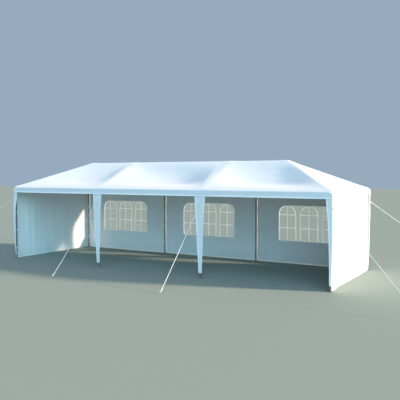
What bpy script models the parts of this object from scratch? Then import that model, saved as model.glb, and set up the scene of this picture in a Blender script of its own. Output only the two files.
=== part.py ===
"""A white party tent, 3 m deep and 9 m long: a steel tube frame on eight legs, a hipped
canopy with a valance, five side walls, leg covers and guy ropes with their pegs.
+X runs along the long side, the open front faces -Y, and the ground is z = 0."""

import math

import bmesh
import bpy
from mathutils import Matrix, Vector

# Plan and heights, in metres
BAY_LENGTH = 3.0  # from leg to leg along the front
TENT_DEPTH = 3.0  # from the front legs to the back legs
EAVE_HEIGHT = 2.0  # crease between roof and valance
ROOF_RISE = 0.69  # from the crease to the ridge
VALANCE_DROP = 0.14  # from the crease to the valance's lower edge
CREASE_ROUND = 0.02  # how far the rounded crease reaches up the roof and down the valance

# Steel frame
LEG_RADIUS = 0.019
RAIL_RADIUS = 0.016
SLEEVE_RADIUS = 0.022
SLEEVE_LENGTH = 0.10
HUB_INSET = 0.0012  # the ball inside a connector is this much smaller than its sleeves
SLEEVE_TWIST = 0.13  # radians that each sleeve's facets are turned from the one before
HUB_LAP = 0.003  # how far each sleeve reaches past the middle of its connector
FOOT_SIZE = 0.12
FOOT_THICKNESS = 0.004
PIN_RADIUS = 0.004
PIN_LIP = 0.003
LIP_RADIUS = 0.0075
TUBE_SIDES = 12
SLIM_SIDES = 8
BALL_RINGS = 8
SMOOTH_ANGLE = math.radians(35)

# Fabric
FABRIC = 0.002
SEAT_GAP = 0.0003  # between pieces that touch
WALL_EDGE = 0.008  # from a leg's axis to the edge of a wall
WALL_LIFT = 0.008  # from the top of a foot plate to the bottom of a wall
WINDOW_WIDTH = 1.70
WINDOW_BOTTOM = 0.585
WINDOW_TOP = 1.55
WINDOW_CORNER = 0.22
CORNER_STEPS = 6
COVER_CLEARANCE = 0.008  # from the end of a pin to the leg cover
COVER_BOTTOM = 0.12
COVER_LAP = 0.04  # how far a leg cover reaches up behind the valance
COVER_FOOT_WIDTH = 0.08
COVER_TAPER = 0.0455  # what half the width gains with each metre of height
COVER_FLARE = 0.018
COVER_FLARE_REACH = 0.35
COVER_FOOT_STANDOFF = 0.004  # from a wall to the lower end of a leg cover
COVER_STEPS = 10

# Guy ropes
ROPE_RADIUS = 0.006
ROPE_DROP = 0.285  # from the eave crease to the pin that a rope hangs on
LOOP_CLEARANCE = 0.003
LOOP_STEPS = 12
LOOP_SIDES = 6
EYELET_CLEARANCE = 0.004
EYELET_CUT = 0.2  # length of the round cutter that makes an eyelet
KNOT_SWELL = 0.0005
LEFT_PEG_REACH = 1.61  # from the middle left leg straight out to its peg
RIGHT_PEG_REACH = 1.84
RIGHT_PEG_DRIFT = 0.15  # along the tent
CORNER_PEG_ALONG = 2.01
CORNER_PEG_OUT = 1.64
PEG_RADIUS = 0.005
PEG_HEIGHT = 0.06
HOOK_RADIUS = 0.0045
HOOK_LENGTH = 0.03
PEG_LOOP_HEIGHT = 0.03

# Worked out: half sizes, and distances from a leg's axis outwards
BAYS = {"left": -BAY_LENGTH, "middle": 0.0, "right": BAY_LENGTH}
HALF_BAY = BAY_LENGTH / 2
HALF_LENGTH = HALF_BAY * len(BAYS)
HALF_DEPTH = TENT_DEPTH / 2
RIDGE_HEIGHT = EAVE_HEIGHT + ROOF_RISE
VALANCE_BOTTOM = EAVE_HEIGHT - VALANCE_DROP
ROPE_TOP = EAVE_HEIGHT - ROPE_DROP
WALL_INNER = SLEEVE_RADIUS + SEAT_GAP
WALL_OUTER = WALL_INNER + FABRIC
LOOP_PLACE = WALL_OUTER + LOOP_CLEARANCE + ROPE_RADIUS
CORNER_LOOP_PLACE = WALL_OUTER * math.sqrt(2)
PIN_REACH_PAST_LOOP = ROPE_RADIUS + SEAT_GAP + PIN_LIP
COVER_INNER = LOOP_PLACE + PIN_REACH_PAST_LOOP + COVER_CLEARANCE
COVER_OUTER = COVER_INNER + FABRIC
COVER_FOOT_OUTER = WALL_OUTER + COVER_FOOT_STANDOFF + FABRIC
VALANCE_OUTER = COVER_OUTER + SEAT_GAP + FABRIC
WALL_BOTTOM = FOOT_THICKNESS + WALL_LIFT

# Worked out: the roof's slope, and the frame's axes below it
SLOPE = ROOF_RISE / (HALF_DEPTH + VALANCE_OUTER)
FRAME_DROP = (FABRIC + SEAT_GAP + SLEEVE_RADIUS) * math.hypot(1, SLOPE)
EAVE_AXIS = EAVE_HEIGHT + VALANCE_OUTER * SLOPE - FRAME_DROP
RIDGE_AXIS = RIDGE_HEIGHT - FRAME_DROP
RIDGE_END = HALF_LENGTH - HALF_DEPTH

LEG_PLACES = {
    "left": -HALF_LENGTH,
    "mid_left": -HALF_BAY,
    "mid_right": HALF_BAY,
    "right": HALF_LENGTH,
}
SIDES = {"front": -HALF_DEPTH, "back": HALF_DEPTH}
UP = Vector((0, 0, 1))


def clear_scene():
    for thing in list(bpy.data.objects):
        bpy.data.objects.remove(thing)


def make_material(name, colour, roughness, metallic=0.0, alpha=1.0):
    material = bpy.data.materials.new(name)
    material.use_nodes = True
    shader = material.node_tree.nodes["Principled BSDF"]
    shader.inputs["Base Color"].default_value = (*colour, 1.0)
    shader.inputs["Roughness"].default_value = roughness
    shader.inputs["Metallic"].default_value = metallic
    shader.inputs["Alpha"].default_value = alpha
    material.diffuse_color = (*colour, alpha)
    return material


def finish_mesh(name, shape):
    """The shape as a mesh whose faces point out."""
    bmesh.ops.recalc_face_normals(shape, faces=shape.faces)
    mesh = bpy.data.meshes.new(name)
    shape.to_mesh(mesh)
    shape.free()
    return mesh


def add_object(name, mesh, finish, location=(0, 0, 0), turn=0.0, smooth=True):
    """A named piece with a material of its own, turned about the vertical."""
    piece = bpy.data.objects.new(name, mesh)
    bpy.context.scene.collection.objects.link(piece)
    piece.location = location
    piece.rotation_euler.z = turn
    if finish:
        piece.data.materials.clear()
        piece.data.materials.append(make_material(name, *finish))
    if smooth:
        mesh.shade_smooth()
        mesh.set_sharp_from_angle(angle=SMOOTH_ANGLE)
    return piece


def add_helper(name, mesh, parent):
    helper = add_object(name, mesh, None, smooth=False)
    helper.parent = parent
    helper.hide_render = True
    helper.display_type = "WIRE"
    return helper


def cut(piece, helper):
    boolean = piece.modifiers.new("cut", "BOOLEAN")
    boolean.operation = "DIFFERENCE"
    boolean.object = helper


def thicken(piece):
    """Fabric thickness, grown inwards from the outer face."""
    solidify = piece.modifiers.new("fabric", "SOLIDIFY")
    solidify.thickness = FABRIC
    solidify.offset = -1
    solidify.use_even_offset = True


def bar_shape(start, end, radius, sides=TUBE_SIDES, twist=0.0):
    """A round bar between two points, with its facets turned by twist."""
    start, end = Vector(start), Vector(end)
    axis = end - start
    turn = axis.to_track_quat("Z", "Y").to_matrix().to_4x4() @ Matrix.Rotation(twist, 4, "Z")
    place = Matrix.Translation((start + end) / 2) @ turn
    shape = bmesh.new()
    bmesh.ops.create_cone(
        shape, cap_ends=True, segments=sides, radius1=radius, radius2=radius, depth=axis.length, matrix=place
    )
    return finish_mesh("bar", shape)


def ball_shape(centre, radius):
    shape = bmesh.new()
    bmesh.ops.create_uvsphere(
        shape, u_segments=TUBE_SIDES, v_segments=BALL_RINGS, radius=radius, matrix=Matrix.Translation(centre)
    )
    return finish_mesh("ball", shape)


def box_shape(low, high):
    low, high = Vector(low), Vector(high)
    shape = bmesh.new()
    bmesh.ops.create_cube(shape, size=1)
    bmesh.ops.scale(shape, vec=high - low, verts=shape.verts)
    bmesh.ops.translate(shape, vec=(low + high) / 2, verts=shape.verts)
    return finish_mesh("box", shape)


def loop_shape(centre, axis, hole_radius, thickness):
    """A closed loop of rope round something of hole_radius."""
    turn = Vector(axis).to_track_quat("Z", "Y").to_matrix().to_4x4()
    place = Matrix.Translation(centre) @ turn
    middle = hole_radius / math.cos(math.pi / LOOP_STEPS) + thickness
    shape = bmesh.new()
    rings = []
    for i in range(LOOP_STEPS):
        angle = 2 * math.pi * i / LOOP_STEPS
        ring = []
        for j in range(LOOP_SIDES):
            tilt = 2 * math.pi * j / LOOP_SIDES
            reach = middle + thickness * math.cos(tilt)
            point = (reach * math.cos(angle), reach * math.sin(angle), thickness * math.sin(tilt))
            ring.append(shape.verts.new(place @ Vector(point)))
        rings.append(ring)
    for i in range(LOOP_STEPS):
        here, following = rings[i], rings[(i + 1) % LOOP_STEPS]
        for j in range(LOOP_SIDES):
            k = (j + 1) % LOOP_SIDES
            shape.faces.new((here[j], following[j], following[k], here[k]))
    return finish_mesh("loop", shape)


def prism_shape(outline, low, high):
    """An outline in X and Z, extruded along Y from low to high."""
    shape = bmesh.new()
    corners = [shape.verts.new((x, low, z)) for x, z in outline]
    face = shape.faces.new(corners)
    grown = bmesh.ops.extrude_face_region(shape, geom=[face])
    moved = [item for item in grown["geom"] if isinstance(item, bmesh.types.BMVert)]
    bmesh.ops.translate(shape, vec=(0, high - low, 0), verts=moved)
    return finish_mesh("prism", shape)


def fused(name, shapes):
    """One closed mesh made of shapes that run into each other."""
    pieces = []
    for mesh in shapes:
        piece = bpy.data.objects.new(name, mesh)
        bpy.context.scene.collection.objects.link(piece)
        pieces.append(piece)
    for other in pieces[1:]:
        union = pieces[0].modifiers.new("union", "BOOLEAN")
        union.operation = "UNION"
        union.object = other
    graph = bpy.context.evaluated_depsgraph_get()
    mesh = bpy.data.meshes.new_from_object(pieces[0].evaluated_get(graph))
    for piece in pieces:
        bpy.data.objects.remove(piece)
    mesh.name = name
    return mesh


STEEL = ((0.30, 0.31, 0.32), 0.38, 0.6)
WHITE_FABRIC = ((0.83, 0.86, 0.88), 0.55)
CLEAR_FILM = ((0.80, 0.86, 0.88), 0.12, 0.0, 0.3)
ROPE = ((0.80, 0.80, 0.76), 0.8)

RAFTER_WAY = Vector((0, HALF_DEPTH, RIDGE_AXIS - EAVE_AXIS)).normalized()
HIP_WAY = Vector((HALF_DEPTH, HALF_DEPTH, RIDGE_AXIS - EAVE_AXIS)).normalized()


def sleeves(centre, ways, through=None):
    """The sleeves of a connector, with one that may run through it, and the ball where they meet."""
    shapes = []
    for i, way in enumerate(map(Vector, ways)):
        start, end = centre - way * HUB_LAP, centre + way * SLEEVE_LENGTH
        shapes.append(bar_shape(start, end, SLEEVE_RADIUS, twist=SLEEVE_TWIST * (i + 1)))
    if through:
        reach = Vector(through) * SLEEVE_LENGTH
        shapes.append(bar_shape(centre - reach, centre + reach, SLEEVE_RADIUS))
    shapes.append(ball_shape(centre, SLEEVE_RADIUS - HUB_INSET))
    return shapes


def leg_mesh(name, ways, through, pin_way, loop_place):
    """A leg standing on the origin: foot plate, tube, connector at its top, and rope pin."""
    top = Vector((0, 0, EAVE_AXIS))
    pin = Vector(pin_way).normalized()
    hook = Vector((0, 0, ROPE_TOP))
    lip_end = loop_place + PIN_REACH_PAST_LOOP
    half_foot = FOOT_SIZE / 2
    tube = bar_shape((0, 0, FOOT_THICKNESS / 2), top, LEG_RADIUS)
    foot = box_shape((-half_foot, -half_foot, 0), (half_foot, half_foot, FOOT_THICKNESS))
    shaft = bar_shape(hook, hook + pin * (lip_end - PIN_LIP / 2), PIN_RADIUS, SLIM_SIDES)
    lip = bar_shape(hook + pin * (lip_end - PIN_LIP), hook + pin * lip_end, LIP_RADIUS, SLIM_SIDES)
    return fused(name, [tube, foot, *sleeves(top, [*ways, -UP], through), shaft, lip])


def build_legs():
    corner_ways = [(1, 0, 0), (0, 1, 0), HIP_WAY]
    corner = leg_mesh("corner_leg", corner_ways, None, (-1, -1, 0), CORNER_LOOP_PLACE)
    middle = leg_mesh("middle_leg", [RAFTER_WAY], (1, 0, 0), (0, -1, 0), LOOP_PLACE)
    for side, y in SIDES.items():
        for place, x in LEG_PLACES.items():
            mesh = middle if place.startswith("mid") else corner
            add_object(f"leg_{side}_{place}", mesh.copy(), STEEL, (x, y, 0), leg_turn(side, place))


def leg_turn(side, place):
    """How far a leg and its cover are turned from the front left leg or a front middle leg."""
    if place.startswith("mid"):
        return 0.0 if side == "front" else math.pi
    quarters = {("front", "left"): 0, ("front", "right"): 1, ("back", "right"): 2, ("back", "left"): 3}
    return quarters[side, place] * math.pi / 2


def add_tube(name, start, end, radius):
    """A tube between two connectors, ending just short of their sleeves."""
    start, end = Vector(start), Vector(end)
    length = (end - start).length - 2 * (SLEEVE_LENGTH + SEAT_GAP)
    mesh = bar_shape((0, 0, -length / 2), (0, 0, length / 2), radius)
    tube = add_object(name, mesh, STEEL, (start + end) / 2)
    tube.rotation_euler = (end - start).to_track_quat("Z", "Y").to_euler()


def build_roof_frame():
    for side, y in SIDES.items():
        for bay, x in BAYS.items():
            start = (x - HALF_BAY, y, EAVE_AXIS)
            add_tube(f"eave_rail_{side}_{bay}", start, (x + HALF_BAY, y, EAVE_AXIS), RAIL_RADIUS)
        for hand, sign in (("left", -1), ("right", 1)):
            foot = (sign * HALF_BAY, y, EAVE_AXIS)
            add_tube(f"rafter_{side}_{hand}", foot, (sign * HALF_BAY, 0, RIDGE_AXIS), RAIL_RADIUS)
            foot = (sign * HALF_LENGTH, y, EAVE_AXIS)
            add_tube(f"hip_rafter_{side}_{hand}", foot, (sign * RIDGE_END, 0, RIDGE_AXIS), RAIL_RADIUS)
    for hand, sign in (("left", -1), ("right", 1)):
        x = sign * HALF_LENGTH
        start = (x, -HALF_DEPTH, EAVE_AXIS)
        add_tube(f"eave_rail_{hand}_end", start, (x, HALF_DEPTH, EAVE_AXIS), RAIL_RADIUS)
        start = (sign * HALF_BAY, 0, RIDGE_AXIS)
        add_tube(f"ridge_tube_{hand}", start, (sign * RIDGE_END, 0, RIDGE_AXIS), RAIL_RADIUS)
    add_tube("ridge_tube_middle", (-HALF_BAY, 0, RIDGE_AXIS), (HALF_BAY, 0, RIDGE_AXIS), RAIL_RADIUS)


def build_ridge_connectors():
    """A cross where two rafters meet the ridge, and a three-way piece at each end of it."""
    origin = Vector((0, 0, 0))
    down_front = -RAFTER_WAY
    down_back = Vector((0, -down_front.y, down_front.z))
    hip_back = Vector((HIP_WAY.x, HIP_WAY.y, -HIP_WAY.z))
    hip_front = Vector((HIP_WAY.x, -HIP_WAY.y, -HIP_WAY.z))
    cross = fused("ridge_cross", sleeves(origin, [down_front, down_back], (1, 0, 0)))
    end = fused("ridge_end", sleeves(origin, [(-1, 0, 0), hip_front, hip_back]))
    for hand, sign, turn in (("left", -1, math.pi), ("right", 1, 0.0)):
        name = f"ridge_connector_{hand}"
        add_object(name, cross.copy(), STEEL, (sign * HALF_BAY, 0, RIDGE_AXIS), turn)
        add_object(f"{name}_end", end.copy(), STEEL, (sign * RIDGE_END, 0, RIDGE_AXIS), turn)


def build_canopy():
    """Hipped roof and valance as one sheet, with a rounded crease between them."""
    long_half = HALF_LENGTH + VALANCE_OUTER
    deep_half = HALF_DEPTH + VALANCE_OUTER
    levels = [
        (0.0, VALANCE_BOTTOM),
        (0.0, EAVE_HEIGHT - CREASE_ROUND),
        (CREASE_ROUND, EAVE_HEIGHT + CREASE_ROUND * SLOPE),
    ]
    shape = bmesh.new()
    rings = []
    for inset, z in levels:
        x, y = long_half - inset, deep_half - inset
        rings.append([shape.verts.new(p) for p in ((-x, -y, z), (x, -y, z), (x, y, z), (-x, y, z))])
    for lower, upper in zip(rings, rings[1:]):
        for i in range(4):
            j = (i + 1) % 4
            shape.faces.new((lower[i], lower[j], upper[j], upper[i]))
    front_left, front_right, back_right, back_left = rings[-1]
    left = shape.verts.new((-RIDGE_END, 0, RIDGE_HEIGHT))
    right = shape.verts.new((RIDGE_END, 0, RIDGE_HEIGHT))
    shape.faces.new((front_left, front_right, right, left))
    shape.faces.new((front_right, back_right, right))
    shape.faces.new((back_right, back_left, left, right))
    shape.faces.new((back_left, front_left, left))
    canopy = add_object("canopy", finish_mesh("canopy", shape), WHITE_FABRIC, smooth=False)
    thicken(canopy)


def window_outline(grow):
    """A window's outline with rounded upper corners, made larger by grow all round."""
    half = WINDOW_WIDTH / 2
    radius = WINDOW_CORNER + grow
    outline = [(-half - grow, WINDOW_BOTTOM - grow), (half + grow, WINDOW_BOTTOM - grow)]
    for sign, first in ((1, 0.0), (-1, math.pi / 2)):
        for i in range(CORNER_STEPS + 1):
            angle = first + math.pi / 2 * i / CORNER_STEPS
            x = sign * (half - WINDOW_CORNER) + radius * math.cos(angle)
            outline.append((x, WINDOW_TOP - WINDOW_CORNER + radius * math.sin(angle)))
    return outline


def add_wall(name, span, location, turn):
    """A wall on the outer side of its legs, hung from the eave rail."""
    half = span / 2 - WALL_EDGE
    mesh = box_shape((-half, WALL_INNER, WALL_BOTTOM), (half, WALL_OUTER, EAVE_AXIS))
    return add_object(name, mesh, WHITE_FABRIC, location, turn, smooth=False)


def build_walls():
    add_wall("left_end_wall", TENT_DEPTH, (-HALF_LENGTH, 0, 0), math.pi / 2)
    add_wall("right_end_wall", TENT_DEPTH, (HALF_LENGTH, 0, 0), -math.pi / 2)
    for bay, x in BAYS.items():
        place = (x, HALF_DEPTH, 0)
        wall = add_wall(f"back_wall_{bay}", BAY_LENGTH, place, 0.0)
        past_wall = FABRIC
        hole = prism_shape(window_outline(0.0), WALL_INNER - past_wall, WALL_OUTER + past_wall)
        cut(wall, add_helper(f"window_hole_{bay}", hole, wall))
        film = prism_shape(window_outline(-SEAT_GAP), WALL_INNER, WALL_OUTER)
        add_object(f"window_{bay}", film, CLEAR_FILM, place, smooth=False)


def cover_half_width(z):
    flare = COVER_FLARE * math.exp((z - VALANCE_BOTTOM) / COVER_FLARE_REACH)
    return COVER_FOOT_WIDTH / 2 + COVER_TAPER * (z - COVER_BOTTOM) + flare


def cover_place(z):
    """How far the outer face of a leg cover stands from its leg's axis."""
    share = min(1.0, (z - COVER_BOTTOM) / (VALANCE_BOTTOM - COVER_BOTTOM))
    return COVER_FOOT_OUTER + share * (COVER_OUTER - COVER_FOOT_OUTER)


def cover_mesh(name, folded):
    """A tapered cover in front of a leg, or folded round the outer corner of a corner leg."""
    top = VALANCE_BOTTOM + COVER_LAP
    shape = bmesh.new()
    rows = []
    for i in range(COVER_STEPS + 1):
        z = top - (top - COVER_BOTTOM) * (1 - i / COVER_STEPS) ** 2
        half, out = cover_half_width(z), cover_place(z)
        if folded:
            points = ((-out, half - out, z), (-out, -out, z), (half - out, -out, z))
        else:
            points = ((-half, -out, z), (0, -out, z), (half, -out, z))
        rows.append([shape.verts.new(point) for point in points])
    for lower, upper in zip(rows, rows[1:]):
        for i in range(2):
            shape.faces.new((lower[i], lower[i + 1], upper[i + 1], upper[i]))
    mesh = bpy.data.meshes.new(name)
    shape.to_mesh(mesh)
    shape.free()
    return mesh


def rope_ends(side, place):
    """Where a guy rope starts at its pin and where its peg stands, seen from the leg's foot."""
    outward = -1 if side == "front" else 1
    if place.startswith("mid"):
        left = place == "mid_left"
        start = Vector((0, outward * LOOP_PLACE, ROPE_TOP))
        reach = LEFT_PEG_REACH if left else RIGHT_PEG_REACH
        return start, Vector((0 if left else RIGHT_PEG_DRIFT, outward * reach, 0))
    along = -1 if place == "left" else 1
    reach = CORNER_LOOP_PLACE / math.sqrt(2)
    start = Vector((along * reach, outward * reach, ROPE_TOP))
    return start, Vector((along * CORNER_PEG_ALONG, outward * CORNER_PEG_OUT, 0))


def rope_line(side, place):
    """The two ends of a guy rope's straight run, under its upper loop and at its peg."""
    pin, peg = rope_ends(side, place)
    start = pin - UP * (PIN_RADIUS + SEAT_GAP + ROPE_RADIUS)
    flat = Vector((pin.x - peg.x, pin.y - peg.y, 0)).normalized()
    return start, peg + UP * PEG_LOOP_HEIGHT + flat * (PEG_RADIUS + ROPE_RADIUS)


def build_covers():
    for side, y in SIDES.items():
        for place, x in LEG_PLACES.items():
            turn = leg_turn(side, place)
            name = f"leg_cover_{side}_{place}"
            mesh = cover_mesh(name, not place.startswith("mid"))
            cover = add_object(name, mesh, WHITE_FABRIC, (x, y, 0), turn, smooth=False)
            thicken(cover)
            start, end = rope_line(side, place)
            way = (end - start).normalized()
            hole = bar_shape(start, start + way * EYELET_CUT, ROPE_RADIUS + EYELET_CLEARANCE)
            hole.transform(Matrix.Rotation(-turn, 4, "Z"))
            cut(cover, add_helper(f"eyelet_{side}_{place}", hole, cover))


def build_guy_ropes():
    for side, y in SIDES.items():
        for place, x in LEG_PLACES.items():
            pin, peg = rope_ends(side, place)
            start, end = rope_line(side, place)
            pin_way = Vector((pin.x, pin.y, 0))
            peg_way = Vector((peg.x - pin.x, peg.y - pin.y, 0)).normalized()
            hook = peg + UP * (PEG_HEIGHT - PEG_RADIUS)
            knot = ROPE_RADIUS + KNOT_SWELL
            shapes = [
                bar_shape(start, end, ROPE_RADIUS, SLIM_SIDES),
                loop_shape(pin, pin_way, PIN_RADIUS + SEAT_GAP, ROPE_RADIUS),
                loop_shape(peg + UP * PEG_LOOP_HEIGHT, UP, PEG_RADIUS - KNOT_SWELL, knot),
                bar_shape(peg, peg + UP * PEG_HEIGHT, PEG_RADIUS, SLIM_SIDES),
                bar_shape(hook, hook + peg_way * HOOK_LENGTH, HOOK_RADIUS, SLIM_SIDES),
            ]
            add_object(f"guy_rope_{side}_{place}", fused("guy_rope", shapes), ROPE, (x, y, 0))


clear_scene()
build_legs()
build_roof_frame()
build_ridge_connectors()
build_canopy()
build_walls()
build_covers()
build_guy_ropes()
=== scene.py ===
"""Looks for a white party tent: canopy, walls, windows, leg covers, guy ropes and steel frame.
Lengths are in metres; +X runs along the long side and the open front faces -Y."""

import math

import bmesh
import bpy
import numpy as np
from mathutils import Matrix, Vector
from mathutils.geometry import delaunay_2d_cdt


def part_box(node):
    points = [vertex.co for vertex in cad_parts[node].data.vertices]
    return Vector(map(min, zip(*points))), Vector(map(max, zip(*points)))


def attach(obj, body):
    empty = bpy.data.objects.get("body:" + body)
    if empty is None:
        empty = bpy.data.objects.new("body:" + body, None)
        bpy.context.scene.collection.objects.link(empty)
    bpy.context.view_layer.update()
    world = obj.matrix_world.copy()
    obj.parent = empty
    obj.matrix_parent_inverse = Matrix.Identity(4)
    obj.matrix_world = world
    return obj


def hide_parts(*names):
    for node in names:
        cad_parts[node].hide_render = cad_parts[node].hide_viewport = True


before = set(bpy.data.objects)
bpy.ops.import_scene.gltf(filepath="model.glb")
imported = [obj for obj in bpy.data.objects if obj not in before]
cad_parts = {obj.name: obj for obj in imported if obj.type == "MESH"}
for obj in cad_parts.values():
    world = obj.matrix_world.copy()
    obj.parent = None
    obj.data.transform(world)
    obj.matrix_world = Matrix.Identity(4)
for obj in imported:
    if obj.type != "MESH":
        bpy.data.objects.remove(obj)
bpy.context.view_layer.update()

# Sizes that the frame was made with
BAY = 3.0
HALF_BAY = BAY / 2
HALF_LENGTH = 4.5
HALF_DEPTH = 1.5
EAVE = 2.0  # the crease between roof and valance
HEM_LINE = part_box("canopy")[0][2]  # lower edge of the valance
LONG_EDGE, SHORT_EDGE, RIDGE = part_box("canopy")[1]  # half the canopy's length and depth, and its height
RIDGE_END = HALF_LENGTH - HALF_DEPTH
SLOPE = (RIDGE - EAVE) / SHORT_EDGE
TUBE = 0.016  # radius of rails and rafters
LEG = 0.019
SLEEVE = 0.022
EAVE_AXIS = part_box("eave_rail_front_middle")[1][2] - TUBE
RIDGE_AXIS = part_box("ridge_tube_middle")[1][2] - TUBE
WALL_PLACE = 0.0233  # middle of a wall's cloth, out from the axis of its legs
WALL_HALF = HALF_BAY - 0.008
WALL_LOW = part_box("left_end_wall")[0][2]
WINDOW_HALF = 0.85
WINDOW_LOW = 0.585
WINDOW_HIGH = 1.55
WINDOW_CORNER = 0.22
COVER_LOW = 0.12
COVER_HIGH = 1.90
COVER_PLACE = 0.0500  # middle of a leg cover's cloth at the valance, out from its leg's axis
COVER_FOOT = 0.0293
COVER_FOOT_HALF = 0.04
COVER_FOLD = 0.030  # radius of a corner cover's fold
PIN_HEIGHT = 1.715
PIN_REACH = 0.0333
CORNER_PIN_REACH = 0.0344
PIN_RADIUS = 0.004
ROPE = 0.006
MIDDLE_PEGS = {"mid_left": (0, 1.61), "mid_right": (0.15, 1.84)}  # from a leg along the side and out
CORNER_PEG = (2.01, 1.64)
PEG = 0.005
PEG_HEIGHT = 0.06
PEG_LOOP_HEIGHT = 0.03
HOOK = 0.030
CLOTH = 0.0012
STRAP_MAP = 0.004  # stands for a radius in a strap's cloth coordinates

PLACES = {"left": -HALF_LENGTH, "mid_left": -HALF_BAY, "mid_right": HALF_BAY, "right": HALF_LENGTH}
SIDES = {"front": -HALF_DEPTH, "back": HALF_DEPTH}
BAYS = {"left": -BAY, "middle": 0.0, "right": BAY}
UP = Vector((0, 0, 1))


# Shader maths


class Wire:
    """One socket of a finish, with the arithmetic that patterns are written in."""

    def __init__(self, finish, socket):
        self.finish = finish
        self.socket = socket

    def maths(self, operation, *values):
        return self.finish.node("ShaderNodeMath", {"operation": operation}, *values)

    def __add__(self, other):
        return self.maths("ADD", self, other)

    def __sub__(self, other):
        return self.maths("SUBTRACT", self, other)

    def __rsub__(self, other):
        return self.maths("SUBTRACT", other, self)

    def __mul__(self, other):
        return self.maths("MULTIPLY", self, other)

    def __truediv__(self, other):
        return self.maths("DIVIDE", self, other)

    __radd__ = __add__
    __rmul__ = __mul__

    def sine(self):
        return self.maths("SINE", self)

    def size(self):
        return self.maths("ABSOLUTE", self)

    def off_centre(self, pitch, shift=0.0):
        """-0.5 to 0.5 over each repeat of a pitch."""
        turns = self / pitch + shift if shift else self / pitch
        return self.maths("FRACT", turns) - 0.5

    def ribs(self, pitch):
        """Round ribs of a pitch, 0 between them and 1 on their crowns."""
        return (self * (math.pi / pitch)).sine().size()

    def between(self, low, high):
        """0 below low, 1 above high, smooth between."""
        settings = {"interpolation_type": "SMOOTHSTEP"}
        return self.finish.node("ShaderNodeMapRange", settings, self, low, high, 0.0, 1.0)


class Finish:
    """A material with the object's coordinates and its cloth coordinates ready as wires."""

    def __init__(self, name, colour, roughness, metallic=0.0, **constants):
        self.material = bpy.data.materials.new(name)
        self.material.use_nodes = True
        self.tree = self.material.node_tree
        self.shader = self.tree.nodes["Principled BSDF"]
        given = {"Base_Color": (*colour, 1.0), "Roughness": roughness, "Metallic": metallic, **constants}
        for socket, value in given.items():
            self.put(socket.replace("_", " "), value)

    def node(self, kind, settings, *values, out=0, **named):
        """Any node: its settings first, then the values or wires of its sockets."""
        made = self.tree.nodes.new(kind)
        for key, value in settings.items():
            setattr(made, key, value)
        for key, value in [*enumerate(values), *named.items()]:
            self.join(made.inputs[key], value)
        return Wire(self, made.outputs[out])

    def join(self, socket, value):
        if isinstance(value, Wire):
            self.tree.links.new(value.socket, socket)
        elif value is not None:
            socket.default_value = value

    def put(self, socket, value):
        self.join(self.shader.inputs[socket], value)

    def point(self):
        return self.node("ShaderNodeTexCoord", {}, out=3)

    def parts(self, vector):
        split = self.tree.nodes.new("ShaderNodeSeparateXYZ")
        self.join(split.inputs[0], vector)
        return [Wire(self, socket) for socket in split.outputs]

    def cloth(self):
        """Metres across and along the cloth, from the piece's own map."""
        return self.node("ShaderNodeUVMap", {"uv_map": "cloth"})

    def noise(self, vector, scale, detail=2.0, roughness=0.5, distortion=0.0):
        named = {"Scale": scale, "Detail": detail, "Roughness": roughness, "Distortion": distortion}
        return self.node("ShaderNodeTexNoise", {}, Vector=vector, **named)

    def stretch(self, vector, scale):
        return self.node("ShaderNodeMapping", {}, vector, None, None, scale)

    def mix(self, factor, first, second):
        """A colour between two others."""
        colours = [value if isinstance(value, Wire) else (*value, 1.0) for value in (first, second)]
        gaps = [None] * 5
        return self.node("ShaderNodeMix", {"data_type": "RGBA"}, factor, *gaps, *colours, out=2)

    def done(self, tone, roughness, relief=None, strength=1.0):
        """The material, with what varies over it; relief is in metres."""
        self.put("Base Color", tone)
        self.put("Roughness", roughness)
        if relief:
            self.put("Normal", self.node("ShaderNodeBump", {}, strength, 1.0, Height=relief))
        return self.material


TAPE = 0.0025  # pitch of the tapes that the sheeting is woven from
FOLD = 0.62  # between two creases from packing


def light_through(share):
    return {"Subsurface_Weight": share, "Subsurface_Radius": (0.02, 0.02, 0.02), "Subsurface_Scale": 1.0}


def white_sheeting(name, colour, dirt=0.0, creases=1.0, **through):
    """Coated woven sheeting: crossing tapes, creases from packing, and grass marks low down."""
    sheen = {"Specular_IOR_Level": 0.35, "Sheen_Weight": 0.08, "Sheen_Roughness": 0.4}
    finish = Finish(name, colour, 0.5, **sheen, **through)
    where = finish.cloth()
    across, along, _ = finish.parts(where)
    over = (across.off_centre(2 * TAPE) * along.off_centre(2 * TAPE)).between(-0.01, 0.01)
    weave = over * across.ribs(TAPE) + (1 - over) * along.ribs(TAPE)
    lines = [wire.off_centre(FOLD, shift).size() for wire, shift in ((across, 0.31), (along, 0.17))]
    crease = (1 - lines[0].between(0.0, 0.006)) + (1 - lines[1].between(0.0, 0.006))
    crease = crease * finish.noise(where, 3.1).between(0.35, 0.65)
    cloud = finish.noise(where, 0.9, 3.0, 0.55)
    crumple = finish.noise(where, 26.0, 3.0, 0.6, 0.6)
    tone = finish.mix(cloud.between(0.3, 0.72), colour, np.multiply(colour, (0.93, 0.95, 0.965)))
    tone = finish.mix(crease * 0.16, tone, np.multiply(colour, 0.84))
    if dirt:
        height = finish.parts(finish.point())[2]
        splash = (1 - height.between(0.0, 0.34)) * finish.noise(where, 11.0, 4.0, 0.65).between(0.3, 0.75)
        tone = finish.mix(splash * dirt, tone, (0.36, 0.37, 0.27))
    relief = weave * 0.000072 + crumple * 0.0016 + crease * (0.0007 * creases)
    return finish.done(tone, 0.46 + cloud * 0.12 + weave * 0.05, relief, 0.8)


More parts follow.
